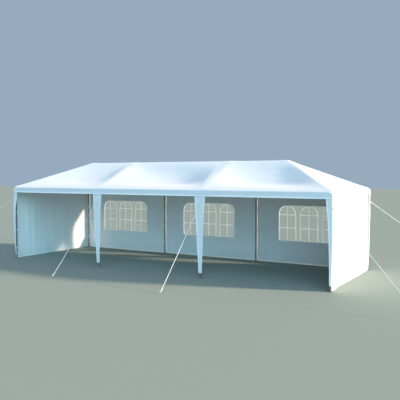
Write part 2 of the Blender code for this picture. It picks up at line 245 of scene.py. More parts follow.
def hem_tape(name, colour):
    """The folded edge of the sheeting: two layers, a little whiter, with small puckers."""
    finish = Finish(name, colour, 0.52, Specular_IOR_Level=0.35)
    where = finish.cloth()
    pucker = finish.noise(finish.stretch(where, (1, 3.5, 1)), 24.0)
    tone = finish.mix(pucker.between(0.3, 0.75), colour, np.multiply(colour, 0.93))
    rib = finish.parts(where)[1].ribs(TAPE)
    return finish.done(tone, 0.48 + pucker * 0.12, pucker * 0.0012 + rib * 0.00008, 0.9)


def coated_steel(name, colour):
    """Grey coated steel tube with scuffs, fine drawing lines and bare spots."""
    finish = Finish(name, colour, 0.42, 0.55, Specular_IOR_Level=0.5)
    where = finish.point()
    scuff = finish.noise(finish.stretch(where, (1, 1, 0.22)), 95.0, 5.0, 0.7)
    spot = finish.noise(where, 31.0, 4.0, 0.6)
    bare = scuff.between(0.60, 0.70) * spot.between(0.42, 0.6) * 0.35
    tone = finish.mix(finish.noise(where, 4.0).between(0.3, 0.7), colour, np.multiply(colour, 0.82))
    tone = finish.mix(bare, tone, (0.62, 0.62, 0.60))
    finish.put("Metallic", 0.5 + bare * 0.45)
    return finish.done(tone, 0.36 + scuff * 0.18 - bare * 0.1, scuff * 0.00006 - bare * 0.00005, 0.7)


def bright_steel(name):
    """Zinc-plated steel for pegs and bolts."""
    finish = Finish(name, (0.58, 0.59, 0.60), 0.34, 0.9)
    where = finish.point()
    spangle = finish.noise(where, 210.0, 3.0, 0.6)
    stain = finish.noise(where, 37.0, 4.0, 0.65).between(0.55, 0.75)
    tone = finish.mix(spangle.between(0.3, 0.7), (0.62, 0.63, 0.64), (0.47, 0.48, 0.50))
    tone = finish.mix(stain * 0.45, tone, (0.40, 0.37, 0.33))
    return finish.done(tone, 0.27 + spangle * 0.2 + stain * 0.2, spangle * 0.00008, 0.6)


def moulded_plastic(name):
    """White moulded plastic for the eyelets, with a fine grain."""
    finish = Finish(name, (0.84, 0.86, 0.88), 0.38, Specular_IOR_Level=0.5)
    grain = finish.noise(finish.point(), 420.0)
    tone = finish.mix(grain.between(0.3, 0.7), (0.86, 0.88, 0.90), (0.78, 0.80, 0.82))
    return finish.done(tone, 0.32 + grain * 0.16, grain * 0.00006, 0.5)


def white_rope(name):
    """White laid rope, with fine yarns that show as slanted lines, and worn places."""
    finish = Finish(name, (0.84, 0.84, 0.81), 0.7, Specular_IOR_Level=0.3, Sheen_Weight=0.15)
    where = finish.cloth()
    around, along, _ = finish.parts(where)
    yarn = (around * 900.0 + along * 620.0).sine()
    fuzz = finish.noise(where, 240.0, 3.0, 0.7)
    worn = finish.noise(finish.point(), 5.0, 3.0, 0.6)
    tone = finish.mix(fuzz.between(0.3, 0.7), (0.88, 0.88, 0.85), (0.72, 0.72, 0.68))
    tone = finish.mix(worn.between(0.5, 0.8) * 0.35, tone, (0.60, 0.59, 0.52))
    return finish.done(tone, 0.6 + fuzz * 0.25, yarn * 0.00018 + fuzz * 0.0002, 0.9)


def window_film(name):
    """Clear flexible film: glossy, slightly milky, with long soft ripples."""
    colour = (0.80, 0.88, 0.87)
    finish = Finish(name, colour, 0.08, Alpha=0.1, Specular_IOR_Level=0.6)
    where = finish.cloth()
    ripple = finish.noise(finish.stretch(where, (1.6, 0.8, 1)), 3.2, 2.0, 0.5, 0.4)
    haze = finish.noise(where, 7.0, 4.0, 0.6)
    finish.put("Alpha", 0.08 + haze.between(0.35, 0.8) * 0.04)
    return finish.done((*colour, 1.0), 0.05 + haze.between(0.4, 0.8) * 0.10, ripple * 0.012, 0.5)


def window_print(name):
    """White bars and arches printed on the film, tinted blue: painted cool light that cancels the warm light
    passing through them.
    """
    finish = Finish(name, (0.86, 0.88, 0.88), 0.4, Specular_IOR_Level=0.4, **light_through(0.85))
    grain = finish.noise(finish.cloth(), 160.0, 3.0, 0.6)
    tone = finish.mix(grain.between(0.3, 0.75), (0.68, 0.84, 0.92), (0.62, 0.78, 0.86))
    return finish.done(tone, 0.34 + grain * 0.2, grain * 0.00015, 0.6)


def plain_thread(name):
    """White sewing thread, slightly fuzzy."""
    finish = Finish(name, (0.90, 0.91, 0.91), 0.6)
    fuzz = finish.noise(finish.point(), 900.0)
    return finish.done(finish.mix(fuzz, (0.93, 0.94, 0.94), (0.80, 0.82, 0.83)), 0.5 + fuzz * 0.2)


def webbing(name):
    """Woven white tape with cross ribs."""
    finish = Finish(name, (0.80, 0.81, 0.80), 0.7)
    where = finish.cloth()
    rib = (finish.parts(where)[1] * 2600.0).sine()
    fuzz = finish.noise(where, 300.0, 3.0)
    tone = finish.mix(fuzz.between(0.3, 0.7), (0.84, 0.85, 0.84), (0.70, 0.71, 0.70))
    return finish.done(tone, 0.62 + fuzz * 0.2, rib * 0.0002 + fuzz * 0.0002, 0.8)


# One white sheeting in tones fitted to how each part is lit, which is painted light and shade. The canopy is
# darker and faintly blue: painted shade on its sunlit roof and painted blue shade on its valance. The walls
# are lighter: painted light on their shaded insides. The front covers are faintly blue: painted blue shade.
ROOF_WHITE = white_sheeting("canopy_sheeting", (0.72, 0.725, 0.75))
WALL_WHITE = white_sheeting("wall_sheeting", (0.89, 0.90, 0.88), 0.3, 0.8)
COVER_WHITE = white_sheeting("leg_cover_sheeting", (0.76, 0.77, 0.79), 0.35, 0.5)
# The back covers are a separate copy of the cover sheeting, tinted green-blue and passing light, so that they
# glow through the gaps behind the back legs: painted light.
BACKLIT_COVER_TINT = white_sheeting("back_cover_glow_tint_sheeting", (0.70, 0.81, 0.80), 0.35, 0.5, **light_through(0.5))
HEM_WHITE = hem_tape("hem_tape", (0.92, 0.93, 0.94))
STEEL = coated_steel("frame_steel_coating", (0.20, 0.21, 0.215))
ZINC = bright_steel("zinc_steel")
PLASTIC = moulded_plastic("eyelet_plastic")
ROPE_WHITE = white_rope("rope_yarn")
FILM = window_film("window_film")
PRINT = window_print("window_print")
THREAD = plain_thread("sewing_thread")
WEBBING = webbing("tie_webbing")


# Mesh helpers


def new_object(name, data):
    made = bpy.data.objects.new(name, data)
    bpy.context.scene.collection.objects.link(made)
    return made


def add_piece(name, mesh, finish, *nodes, slot="white_fabric"):
    """A visible piece on the tent's one body, with its finish and the nodes it stands for hidden; slot is not
    used.
    """
    piece = new_object(name, mesh)
    mesh.materials.clear()
    mesh.materials.append(finish)
    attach(piece, "root")
    if nodes:
        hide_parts(*nodes)
    return piece


def make_mesh(name, points, faces, maps=None, smooth=True):
    """A mesh from points and faces; maps gives each point's cloth coordinates, or each corner's."""
    mesh = bpy.data.meshes.new(name)
    mesh.from_pydata([tuple(p) for p in points], [], [tuple(int(i) for i in f) for f in faces])
    if maps is not None:
        maps = np.asarray(maps, float)
        layer = mesh.uv_layers.new(name="cloth")
        if len(maps) == len(points):
            corner = np.empty(len(mesh.loops), int)
            mesh.loops.foreach_get("vertex_index", corner)
            maps = maps[corner]
        layer.data.foreach_set("uv", maps.ravel())
    if smooth:
        mesh.shade_smooth()
    mesh.update()
    return mesh


def thicken(piece, thickness, offset=0.0):
    solid = piece.modifiers.new("thickness", "SOLIDIFY")
    solid.thickness = thickness
    solid.offset = offset
    solid.use_even_offset = False


def soft_step(x):
    x = np.clip(x, 0, 1)
    return x * x * (3 - 2 * x)


def bell(x, width):
    """1 at zero, falling smoothly to almost 0 at twice the width."""
    return np.exp(-((x / width) ** 2))


def ripples(a, b, wavelength, seed, count=9, stretch=1.0):
    """Smooth random relief between about -1 and 1, the same on every run."""
    draw = np.random.default_rng(seed)
    total = np.zeros(np.broadcast(a, b).shape)
    for _ in range(count):
        turn = draw.uniform(0, 2 * math.pi)
        wave = 2 * math.pi / (wavelength * draw.uniform(0.75, 1.35))
        phase = draw.uniform(0, 2 * math.pi)
        total += np.cos(wave * (a * math.cos(turn) / stretch + b * math.sin(turn)) + phase)
    return total / math.sqrt(2 * count)


def run(start, end, spacing=0.06):
    """Evenly spaced points from start to end."""
    steps = max(1, math.ceil(math.dist(start, end) / spacing))
    return [tuple(a + (b - a) * i / steps for a, b in zip(start, end)) for i in range(steps + 1)]


def unit(vectors):
    """Vectors, one in each row, brought to length 1."""
    return vectors / np.linalg.norm(vectors, axis=1)[:, None]


def leftward(ways):
    """Directions in the plane, one in each row, turned a quarter to their left."""
    return np.stack([-ways[:, 1], ways[:, 0]], 1)


def beside(path, shift):
    """A path shifted to its left in the plane of its sheet."""
    path = np.array(path, float)
    return path + leftward(unit(np.gradient(path, axis=0))) * shift


def sheet_row(path, place, out):
    """A path on a sheet as points in space, with the way that the sheet faces at each."""
    across, up = np.array(path, float).T
    points = place(across, up, out)
    return points, unit(place(across, up, out + math.copysign(0.01, out)) - points)


def quads(rows, count, rows_meet=False, columns_meet=True):
    """Corners of the quads between rows of count points; rows and columns can close into rings."""
    i, j = np.indices((rows if rows_meet else rows - 1, count if columns_meet else count - 1))
    k, m = (i + 1) % rows, (j + 1) % count
    return np.stack([i * count + j, i * count + m, k * count + m, k * count + j], -1).reshape(-1, 4)


def outward_mesh(mesh, *others, merge=0.0):
    """A closed mesh, joined by others, with all its faces turned outwards."""
    shape = bmesh.new()
    for part in (mesh, *others):
        shape.from_mesh(part)
    if merge:
        bmesh.ops.remove_doubles(shape, verts=shape.verts, dist=merge)
    bmesh.ops.recalc_face_normals(shape, faces=shape.faces)
    shape.to_mesh(mesh)
    shape.free()
    return mesh


def turned_shape(name, profile, steps):
    """A shape turned round Z from (radius, height) points; a closed profile makes a ring."""
    closed = profile[0] == profile[-1]
    rows = profile[:-1] if closed else profile
    angles = [2 * math.pi * i / steps for i in range(steps)]
    points = [(r * math.cos(a), r * math.sin(a), height) for r, height in rows for a in angles]
    return outward_mesh(make_mesh(name, points, quads(len(rows), steps, closed)), merge=1e-6)


def swept_bar(name, path, radius, sides=12, strap=None):
    """A closed round bar along a path, or a strap: its half width, half thickness and width's direction."""
    path = [Vector(p) for p in path]
    ways = [(b - a).normalized() for a, b in zip(path, path[1:])]
    ways = [ways[0]] + [(a + b).normalized() for a, b in zip(ways, ways[1:])] + [ways[-1]]
    angles = [2 * math.pi * (j + 0.5) / sides for j in range(sides)]
    if strap:
        wide, thick, side = strap
        section = [(wide, thick), (-wide, thick), (-wide, -thick), (wide, -thick)]
    else:
        side = ways[0].orthogonal().normalized()
        section = [(radius * math.cos(a), radius * math.sin(a)) for a in angles]
    points, maps, travelled, last = [], [], 0.0, path[0]
    for point, way in zip(path, ways):
        travelled += (point - last).length
        last = point
        side = (side - way * side.dot(way)).normalized()
        other = way.cross(side)
        points += [point + side * a + other * b for a, b in section]
        maps += [(angle * (radius or STRAP_MAP), travelled) for angle in angles]
    ring = np.arange(sides)
    faces = [*quads(len(path), sides), ring[::-1], ring + (len(path) - 1) * sides]
    return outward_mesh(make_mesh(name, points, faces, maps, smooth=not strap))


# What repeats: Geometry Nodes


class Tree:
    """A Geometry Nodes tree that takes a mesh and named sizes and gives back a mesh."""

    def __init__(self, name, **inputs):
        self.group = bpy.data.node_groups.new(name, "GeometryNodeTree")
        face = self.group.interface
        face.new_socket("Geometry", in_out="INPUT", socket_type="NodeSocketGeometry")
        for label, kind in inputs.items():
            face.new_socket(label, in_out="INPUT", socket_type=f"NodeSocket{kind}")
        face.new_socket("Geometry", in_out="OUTPUT", socket_type="NodeSocketGeometry")
        self.given = self.group.nodes.new("NodeGroupInput")

    def value(self, label):
        return self.given.outputs[label]

    def node(self, kind, settings=None, out=0, **named):
        """A node: its settings first, then its sockets by name or, as _0, by number."""
        made = self.group.nodes.new(kind)
        for key, value in (settings or {}).items():
            setattr(made, key, value)
        for key, value in named.items():
            socket = made.inputs[int(key[1:])] if key[0] == "_" else made.inputs[key.replace("_", " ")]
            if isinstance(value, bpy.types.NodeSocket):
                self.group.links.new(value, socket)
            else:
                socket.default_value = value
        return made.outputs[out]

    def maths(self, operation, first, second=0.0):
        return self.node("ShaderNodeMath", {"operation": operation}, _0=first, _1=second)

    def vectors(self, operation, first, second):
        return self.node("ShaderNodeVectorMath", {"operation": operation}, _0=first, _1=second)

    def scaled(self, vector, factor):
        return self.node("ShaderNodeVectorMath", {"operation": "SCALE"}, _0=vector, Scale=factor)

    def attribute(self, name):
        return self.node("GeometryNodeInputNamedAttribute", {"data_type": "FLOAT_VECTOR"}, Name=name)

    def turned(self, ahead):
        """The rotation with Z along the point's facing and X towards ahead."""
        kind = "FunctionNodeAlignRotationToVector"
        facing = self.node(kind, {"axis": "Z"}, Vector=self.attribute("facing"))
        return self.node(kind, {"axis": "X", "pivot_axis": "Z"}, Rotation=facing, Vector=ahead)

    def finish(self, geometry):
        real = self.node("GeometryNodeRealizeInstances", _0=geometry)
        done = self.node("GeometryNodeSetMaterial", Geometry=real, Material=self.value("Finish"))
        end = self.group.nodes.new("NodeGroupOutput")
        self.group.links.new(done, end.inputs[0])
        return self

    def grow(self, name, source, **values):
        """The mesh that the tree makes from a source mesh."""
        holder = new_object(name, source)
        growth = holder.modifiers.new("growth", "NODES")
        growth.node_group = self.group
        for socket in self.group.interface.items_tree:
            if socket.in_out == "INPUT" and socket.name in values:
                growth[socket.identifier] = values[socket.name]
        graph = bpy.context.evaluated_depsgraph_get()
        mesh = bpy.data.meshes.new_from_object(holder.evaluated_get(graph))
        bpy.data.objects.remove(holder)
        mesh.name = name
        return mesh


def stitch_tree():
    """Short threads laid end to end along edges, flat on the surface that the edges lie on."""
    tree = Tree("stitch_rows", Pitch="Float", Length="Float", Width="Float", Finish="Material")
    curve = tree.node("GeometryNodeMeshToCurve", Mesh=tree.value("Geometry"))
    pitch, width = tree.value("Pitch"), tree.value("Width")
    points = tree.node("GeometryNodeCurveToPoints", {"mode": "LENGTH"}, Curve=curve, Length=pitch)
    turn = tree.turned(points.node.outputs["Tangent"])
    thread = tree.node("GeometryNodeMeshUVSphere", Segments=4, Rings=3, Radius=0.5)
    size = tree.node("ShaderNodeCombineXYZ", X=tree.value("Length"), Y=width, Z=width)
    named = {"Points": points, "Instance": thread, "Rotation": turn, "Scale": size}
    return tree.finish(tree.node("GeometryNodeInstanceOnPoints", **named))


def rope_tree():
    """Strands laid round each other along edges."""
    tree = Tree("laid_rope", Strand="Float", Orbit="Float", Lay="Float", Strands="Int", Finish="Material")
    lay, count = tree.value("Lay"), tree.value("Strands")
    curve = tree.node("GeometryNodeMeshToCurve", Mesh=tree.value("Geometry"))
    step = tree.maths("DIVIDE", lay, 8.0)
    curve = tree.node("GeometryNodeResampleCurve", {"mode": "LENGTH"}, Curve=curve, Length=step)
    copies = tree.node("GeometryNodeDuplicateElements", {"domain": "SPLINE"}, Geometry=curve, Amount=count)
    turn = tree.maths("DIVIDE", copies.node.outputs["Duplicate Index"], count)
    length = tree.node("GeometryNodeSplineParameter", out=1)
    turn = tree.maths("ADD", turn, tree.maths("DIVIDE", length, lay))
    turn = tree.maths("MULTIPLY", turn, 2 * math.pi)
    side = tree.node("GeometryNodeInputNormal")
    other = tree.vectors("CROSS_PRODUCT", tree.node("GeometryNodeInputTangent"), side)
    side = tree.scaled(side, tree.maths("COSINE", turn))
    other = tree.scaled(other, tree.maths("SINE", turn))
    shift = tree.scaled(tree.vectors("ADD", side, other), tree.value("Orbit"))
    strands = tree.node("GeometryNodeSetPosition", Geometry=copies, Offset=shift)
    profile = tree.node("GeometryNodeCurvePrimitiveCircle", Resolution=5, Radius=tree.value("Strand"))
    named = {"Curve": strands, "Profile_Curve": profile, "Fill_Caps": True}
    return tree.finish(tree.node("GeometryNodeCurveToMesh", **named))


def setting_tree():
    """One shape set at each point, its Z along the point's facing and its X along the point's ahead."""
    tree = Tree("set_shapes", Shape="Object", Finish="Material")
    shape = tree.node("GeometryNodeObjectInfo", {"transform_space": "ORIGINAL"}, Object=tree.value("Shape"))
    shape = shape.node.outputs["Geometry"]
    named = {"Instance": shape, "Rotation": tree.turned(tree.attribute("ahead"))}
    return tree.finish(tree.node("GeometryNodeInstanceOnPoints", Points=tree.value("Geometry"), **named))


THREAD_WIDTH = 0.0013
THREAD_SHARE = 0.72  # of a stitch's pitch, that its thread takes up
STITCHING = stitch_tree()
LAID_ROPE = rope_tree()
SETTING = setting_tree()


def source_mesh(name, rows, **vectors):
    """Points joined row by row, with a vector of each label at each point."""
    points, edges = [], []
    for row in rows:
        first = len(points)
        points += [tuple(p) for p in row]
        edges += [(first + i, first + i + 1) for i in range(len(row) - 1)]
    mesh = bpy.data.meshes.new(name)
    mesh.from_pydata(points, edges, [])
    for label, values in vectors.items():
        layer = mesh.attributes.new(label, "FLOAT_VECTOR", "POINT")
        layer.data.foreach_set("vector", np.array([tuple(v) for v in values], float).ravel())
    return mesh


def add_stitches(name, rows, pitch=0.010):
    """Rows of stitches; each row is its points and the way that the cloth faces at them."""
    source = source_mesh(name, [row for row, _ in rows], facing=[way for _, ways in rows for way in ways])
    sizes = {"Pitch": pitch, "Length": pitch * THREAD_SHARE, "Width": THREAD_WIDTH}
    mesh = STITCHING.grow(name, source, Finish=THREAD, **sizes)
    return add_piece(name, mesh, THREAD)


def set_shapes(name, shape, spots, finish, slot="white_fabric"):
    """One shape at many spots; each spot is its point, its facing and its ahead."""
    holder = bpy.data.objects.new(f"{name}_shape", shape)
    points, facing, ahead = zip(*spots)
    source = source_mesh(name, [[p] for p in points], facing=facing, ahead=ahead)
    mesh = SETTING.grow(name, source, Shape=holder, Finish=finish)
    bpy.data.objects.remove(holder)
    mesh.shade_smooth()
    add_piece(name, mesh, finish, slot=slot)


# Canopy

CREASE = 0.019  # radius of the fold between roof and valance
CORNER = 0.035  # radius of the canopy's corners in plan
LONG_STEPS = 182  # along a long side, a short side and a corner
SHORT_STEPS = 62
CORNER_STEPS = 6
REST = 0.0042  # how far the cloth settles onto the tubes below the level of the connectors
LIFT = 0.0038  # how far the connectors push it up
HUB_REACH = 0.17
SAG_SPOTS = (0.0, 0.17, 0.34, 0.59, 0.70, 0.86, 1.0)  # shares of a bay's width, from its left rafter
SAG_FALLS = (0.165, 0.135, 0.095, -0.005, -0.055, -0.225, -0.225)  # how steeply the cloth falls away there
BAY_SLACK = (0.72, 1.0, 0.95)  # of the left, middle and right bay
RIDGE_HOLD = 0.38  # how far the ridge and the eave hold the cloth up
EAVE_HOLD = 0.40
END_SAG = 0.058  # how far the end slopes sag, and how far from a tube they get there
END_REACH = 0.38
FLAT_BESIDE = 0.30  # how far the cloth lies flat beside the right rafters, at the ridge
OVER_TUBE = 0.014  # how much lower the cloth lies where it bends over a rafter
SOFT = 0.009  # rounding of ridge and hips, in plan
OFF_TUBE = 0.009  # how much lower the cloth lies once it is clear of the tubes and the eave
SLOW_RIPPLE = 0.0042  # heights of the ripples and folds
FINE_RIPPLE = 0.0011
HIP_FOLD = 0.0048
RAFTER_FOLD = 0.0030
CORNER_FALL = 0.034  # how far the cloth rounds off past the corners and over the middle legs
LEG_FALL = 0.010
HOLLOW = 0.0060  # how far the valance falls in below its crease
HEM_SWING = (0.0015, 0.0030, 0.0025)  # how far its hem stands out: everywhere, in waves and in ripples
SEAM_WIDTH = 0.028
SEAM_THICK = 0.0012
SEAM_PLACE = 0.0008  # from the cloth's outer face out to the middle of a seam's tape
SEAM_ROW = SEAM_WIDTH * 0.36  # from a seam's middle to its stitches
HEM_WIDTH = 0.027
HEM_DEPTH = 0.0026
HEM_ROWS = (0.006, 0.023)  # heights of the hem's stitches above its lower edge
WELD = 0.0002  # points closer than this, at the ridge, become one


def rounded_ring(inset):
    """Points of a rounded rectangle inset from the eave, anticlockwise from the front left."""
    x_half, y_half = LONG_EDGE - inset, max(SHORT_EDGE - inset, 0.0)
    radius = min(CORNER, y_half)
    x_run, y_run = x_half - radius, y_half - radius
    front = ((-x_run, -y_half), (x_run, -y_half), LONG_STEPS, -y_run, -90)
    right = ((x_half, -y_run), (x_half, y_run), SHORT_STEPS, y_run, 0)
    ring = []
    for start, end, steps, turn_y, first in (front, right):
        share = np.linspace(0, 1, steps + 1)[:, None]
        angles = np.radians(first + 90 * np.arange(1, CORNER_STEPS) / CORNER_STEPS)
        ring.append(np.array(start) * (1 - share) + np.array(end) * share)
        ring.append(np.stack([x_run + radius * np.cos(angles), turn_y + radius * np.sin(angles)], 1))
    half = np.concatenate(ring)
    return np.concatenate([half, -half])


def support_distance(x, y):
    """How far a point of the roof's plan is from the nearest tube under the cloth."""
    ax, ay = np.abs(x), np.abs(y)
    rafter = np.abs(ax - HALF_BAY)
    hip = np.abs(ax - RIDGE_END - ay) / math.sqrt(2)
    ridge = np.where(ax < RIDGE_END, ay, np.hypot(ax - RIDGE_END, ay))
    eave = np.minimum(np.abs(HALF_DEPTH - ay), np.abs(HALF_LENGTH - ax))
    return np.minimum(np.minimum(rafter, hip), np.minimum(ridge, eave))


def hub_nearness(x, y):
    """1 at a connector, falling to almost 0 at some 35 cm from it."""
    hubs = ((HALF_BAY, HALF_DEPTH), (HALF_LENGTH, HALF_DEPTH), (HALF_BAY, 0), (RIDGE_END, 0))
    away = [np.hypot(np.abs(x) - hub_x, np.abs(y) - hub_y) for hub_x, hub_y in hubs]
    return bell(np.minimum.reduce(away), HUB_REACH)


def sag_profile(share):
    """How far the cloth has fallen at a share of its bay, as a share of the bay's width."""
    fine = np.linspace(0, 1, 201)
    fall = np.interp(fine, SAG_SPOTS, SAG_FALLS)
    steps = (fall[1:] + fall[:-1]) / 2
    return np.interp(share, fine, np.concatenate([[0], np.cumsum(steps - steps.mean())]) / 200)


def bay_sag(x, y):
    """How far the long slopes sag between their rafters, ridge and eave."""
    ay = np.abs(y)
    hip = RIDGE_END + ay
    flat = HALF_BAY - FLAT_BESIDE * (1 - ay / HALF_DEPTH)

    def by_bay(left, middle, right):
        return np.where(x < -HALF_BAY, left, np.where(x < HALF_BAY, middle, right))

    first, last = by_bay(-hip, -HALF_BAY, HALF_BAY), by_bay(-HALF_BAY, flat, hip)
    fall = by_bay(*BAY_SLACK) * (last - first) * sag_profile(np.clip((x - first) / (last - first), 0, 1))
    fall = np.sqrt(fall**2 + OVER_TUBE**2) - OVER_TUBE
    off_eave = 1 - np.exp(-((np.maximum(HALF_DEPTH - ay, 0) / EAVE_HOLD) ** 2.6))
    return fall * (1 - bell(ay, RIDGE_HOLD)) * off_eave


def roof_drop(x, y):
    """How far the cloth hangs below the flat slope, from sag, settling and folds."""
    ax, ay = np.abs(x), np.abs(y)
    away = support_distance(x, y)
    near = hub_nearness(x, y)
    before_hip = RIDGE_END + ay - ax  # below 0 on the end slopes
    end_sag = END_SAG * (1 - bell(away, END_REACH))
    drop = REST * (1 - near) - LIFT * near + np.where(before_hip < 0, end_sag, bay_sag(x, y))
    from_eave = np.maximum(np.minimum(HALF_DEPTH - ay, HALF_LENGTH - ax), 0)
    drop += OFF_TUBE * (1 - bell(from_eave, 0.13)) * (1 - bell(away, 0.2))
    loose = 1 - bell(away, 0.16)
    drop += loose * SLOW_RIPPLE * ripples(x, y, 0.75, 11, stretch=1.6)
    drop += loose * FINE_RIPPLE * ripples(x, y, 0.16, 12, stretch=2.2)
    # Fine folds that fan out from the hips, and slanted ones beside the rafters
    hand = np.sign(x) * 1.7 + np.sign(y) * 0.9
    streak = bell(before_hip - 0.38, 0.40) * bell(ay - 0.78, 0.42)
    wave = np.sin(2 * math.pi * (ay + 0.05 * before_hip) / 0.21 + hand + 0.8 * ripples(x, y, 0.5, 13))
    drop += HIP_FOLD * streak * wave * loose
    beside_rafter = np.abs(x - HALF_BAY * np.sign(x)) - 0.30
    pull = np.where(ax < RIDGE_END, bell(beside_rafter, 0.26), 0) * bell(ay - 0.7, 0.5)
    wave = np.sin(2 * math.pi * (ay + 0.55 * x * np.sign(-y)) / 0.27 + 1.3 * hand)
    return drop + RAFTER_FOLD * pull * wave * loose


def shoulder(x, y):
    """How far the cloth rounds off past the connectors at the corners and over the middle legs."""
    past_x, past_y = np.abs(x) - HALF_LENGTH, np.abs(y) - HALF_DEPTH
    corner = CORNER_FALL * soft_step((past_x + past_y - 0.016) / 0.09)
    over_leg = bell(np.abs(x) - HALF_BAY, 0.11) * soft_step((past_y - 0.005) / 0.05)
    return corner + LEG_FALL * over_leg


def roof_height(x, y):
    """The cloth's outer face over a point of the plan, with soft ridge and hips."""
    gap_x, gap_y = LONG_EDGE - np.abs(x), SHORT_EDGE - np.abs(y)
    spread = np.sqrt((gap_x - gap_y) ** 2 + SOFT**2)
    inset = (gap_x + gap_y - spread) / 2
    crown = np.sqrt(y**2 + SOFT**2) - np.abs(y)
    height = EAVE + SLOPE * (inset - crown * 0.35)
    return height - roof_drop(x, y) * soft_step(inset / 0.09) - shoulder(x, y)


def on_roof(x, y, out):
    """place() for what lies on the roof."""
    return np.stack([x, y, roof_height(x, y) + out], 1)


def canopy_levels():
    """(inset, height) of each ring from the hem over the crease, then up the roof, where height is None."""
    levels = [(0.0, z) for z in np.linspace(HEM_LINE, EAVE - CREASE, 6)]
    for share in (0.2, 0.4, 0.6, 0.8):
        turn = share * (math.pi / 2 - math.atan(SLOPE))
        levels.append((CREASE * (1 - math.cos(turn)), EAVE - CREASE + CREASE * math.sin(turn)))
    slope = np.linspace(0.095, SHORT_EDGE - 0.03, 36)
    insets = [0.024, 0.035, 0.05, 0.07, *slope, SHORT_EDGE - 0.012, SHORT_EDGE]
    return levels + [(inset, None) for inset in insets]


def valance_swing(x, y, height):
    """How far the valance stands out from flat: hollow below the crease between legs, out at its hem."""
    low = soft_step((EAVE - height) / (EAVE - HEM_LINE))
    along = np.where(np.abs(y) > SHORT_EDGE - 0.05, x, y * 1.3 + 7.0)
    wave = 0.5 + 0.5 * np.sin(2 * math.pi * along / 0.93 + 0.6 * np.sin(along * 1.7))
    ripple = 0.5 + 0.5 * ripples(along, along * 0, 0.31, 21)
    share = np.clip((EAVE - CREASE - height) / (EAVE - CREASE - HEM_LINE), 0, 1)
    legs = (np.abs(np.abs(x) - HALF_BAY), np.hypot(LONG_EDGE - np.abs(x), SHORT_EDGE - np.abs(y)))
    between = soft_step((np.minimum(*legs) - 0.16) / 0.3)
    hollow = HOLLOW * between * np.sin(math.pi * share)
    steady, waving, rippling = HEM_SWING
    return low * (steady + (0.3 + 0.7 * between) * (waving * wave + rippling * ripple)) - hollow


def edge_way(x, y, inset=0.0):
    """The direction straight out of the valance at a point of its plan."""
    past_x = np.clip((np.abs(x) - (LONG_EDGE - inset - CORNER)) / CORNER, 0, 1)
    past_y = np.clip((np.abs(y) - (SHORT_EDGE - inset - CORNER)) / CORNER, 0, 1)
    size = np.maximum(np.hypot(past_x, past_y), 1e-6)
    return np.sign(x) * past_x / size, np.sign(y) * past_y / size


def canopy_ring(inset, height, out=0.0):
    """One ring of the canopy, on the roof when height is None and otherwise on the valance."""
    x, y = rounded_ring(inset).T
    if height is None:
        return on_roof(x, y, out)
    swing = valance_swing(x, y, height) + out
    way_x, way_y = edge_way(x, y, inset)
    high = soft_step((height - HEM_LINE - 0.05) / (EAVE - CREASE - HEM_LINE - 0.05))
    level = height - shoulder(x, y) * high
    return np.stack([x + way_x * swing, y + way_y * swing, level], 1)


def ring_mesh(name, rings, heights):
    """Quads between closed rings, with cloth coordinates along each side and up the slope."""
    count = len(rings[0])
    points = np.concatenate(rings)
    faces, maps = quads(len(rings), count), []
    for face in faces:
        across, deep, _ = np.abs(points[face].mean(0))
        on_end = across > RIDGE_END and across / LONG_EDGE > deep / SHORT_EDGE
        for corner in face:
            maps.append((points[corner][1] + 20 if on_end else points[corner][0], heights[corner // count]))
    return make_mesh(name, points, faces, maps)


def build_canopy():
    levels = canopy_levels()
    slope = [(inset, EAVE + SLOPE * inset if height is None else height) for inset, height in levels]
    lengths = [0.0, *np.cumsum([math.dist(a, b) for a, b in zip(slope, slope[1:])])]
    mesh = ring_mesh("canopy_cloth", [canopy_ring(*level) for level in levels], lengths)
    piece = add_piece("canopy_cloth", mesh, ROOF_WHITE, "canopy")
    piece.modifiers.new("weld", "WELD").merge_threshold = WELD
    thicken(piece, CLOTH, -1.0)
    heights = np.linspace(HEM_LINE - 0.0005, HEM_LINE + HEM_WIDTH, 4)
    mesh = ring_mesh("canopy_hem", [canopy_ring(0.0, height, 0.0006) for height in heights], heights)
    hem = add_piece("canopy_hem", mesh, HEM_WHITE)
    thicken(hem, HEM_DEPTH, -1.0)
    paths = [run((-RIDGE_END, 0), (RIDGE_END, 0), 0.05)]
    for across in (-1, 1):
        for deep in (-1, 1):
            foot = (across * (LONG_EDGE - 0.03), deep * (SHORT_EDGE - 0.03))
            paths.append(run(foot, (across * (RIDGE_END + 0.01), deep * 0.01), 0.02))
    rounded = (-1, -0.5, -0.2, 0, 0.2, 0.5, 1)
    flat = {"out": SEAM_PLACE, "lines": rounded}
    seams = add_tapes("canopy_seams", HEM_WHITE, paths, SEAM_WIDTH, SEAM_THICK, on_roof, **flat)
    rows = [sheet_row(beside(path, s), on_roof, 0.0018) for path in paths for s in (-SEAM_ROW, SEAM_ROW)]
    for height in HEM_ROWS:
        ring = canopy_ring(0.0, HEM_LINE + height, 0.0012)
        ring = np.concatenate([ring, ring[:1]])
        way_x, way_y = edge_way(ring[:, 0], ring[:, 1])
        rows.append((ring, np.stack([way_x, way_y, 0 * way_x], 1)))
    thread = add_stitches("canopy_stitches", rows)


# Flat sheets: walls, window films and leg covers

TAPE_LINES = (-1, -0.5, 0.5, 1)  # across a tape, as shares of its half width
HEM_THICK = 0.0022


def outline_points(corners, spacing):
    """Points along a closed outline, no further apart than spacing."""
    return [p for a, b in zip(corners, corners[1:] + corners[:1]) for p in run(a, b, spacing)[:-1]]


def inside(outline, points):
    """Which points are inside a closed outline."""
    result = np.zeros(len(points), bool)
    x, y = points.T
    for (x0, y0), (x1, y1) in zip(outline, outline[1:] + outline[:1]):
        if y0 != y1:
            crosses = (y0 > y) != (y1 > y)
            result ^= crosses & (x < (x1 - x0) * (y - y0) / (y1 - y0) + x0)
    return result


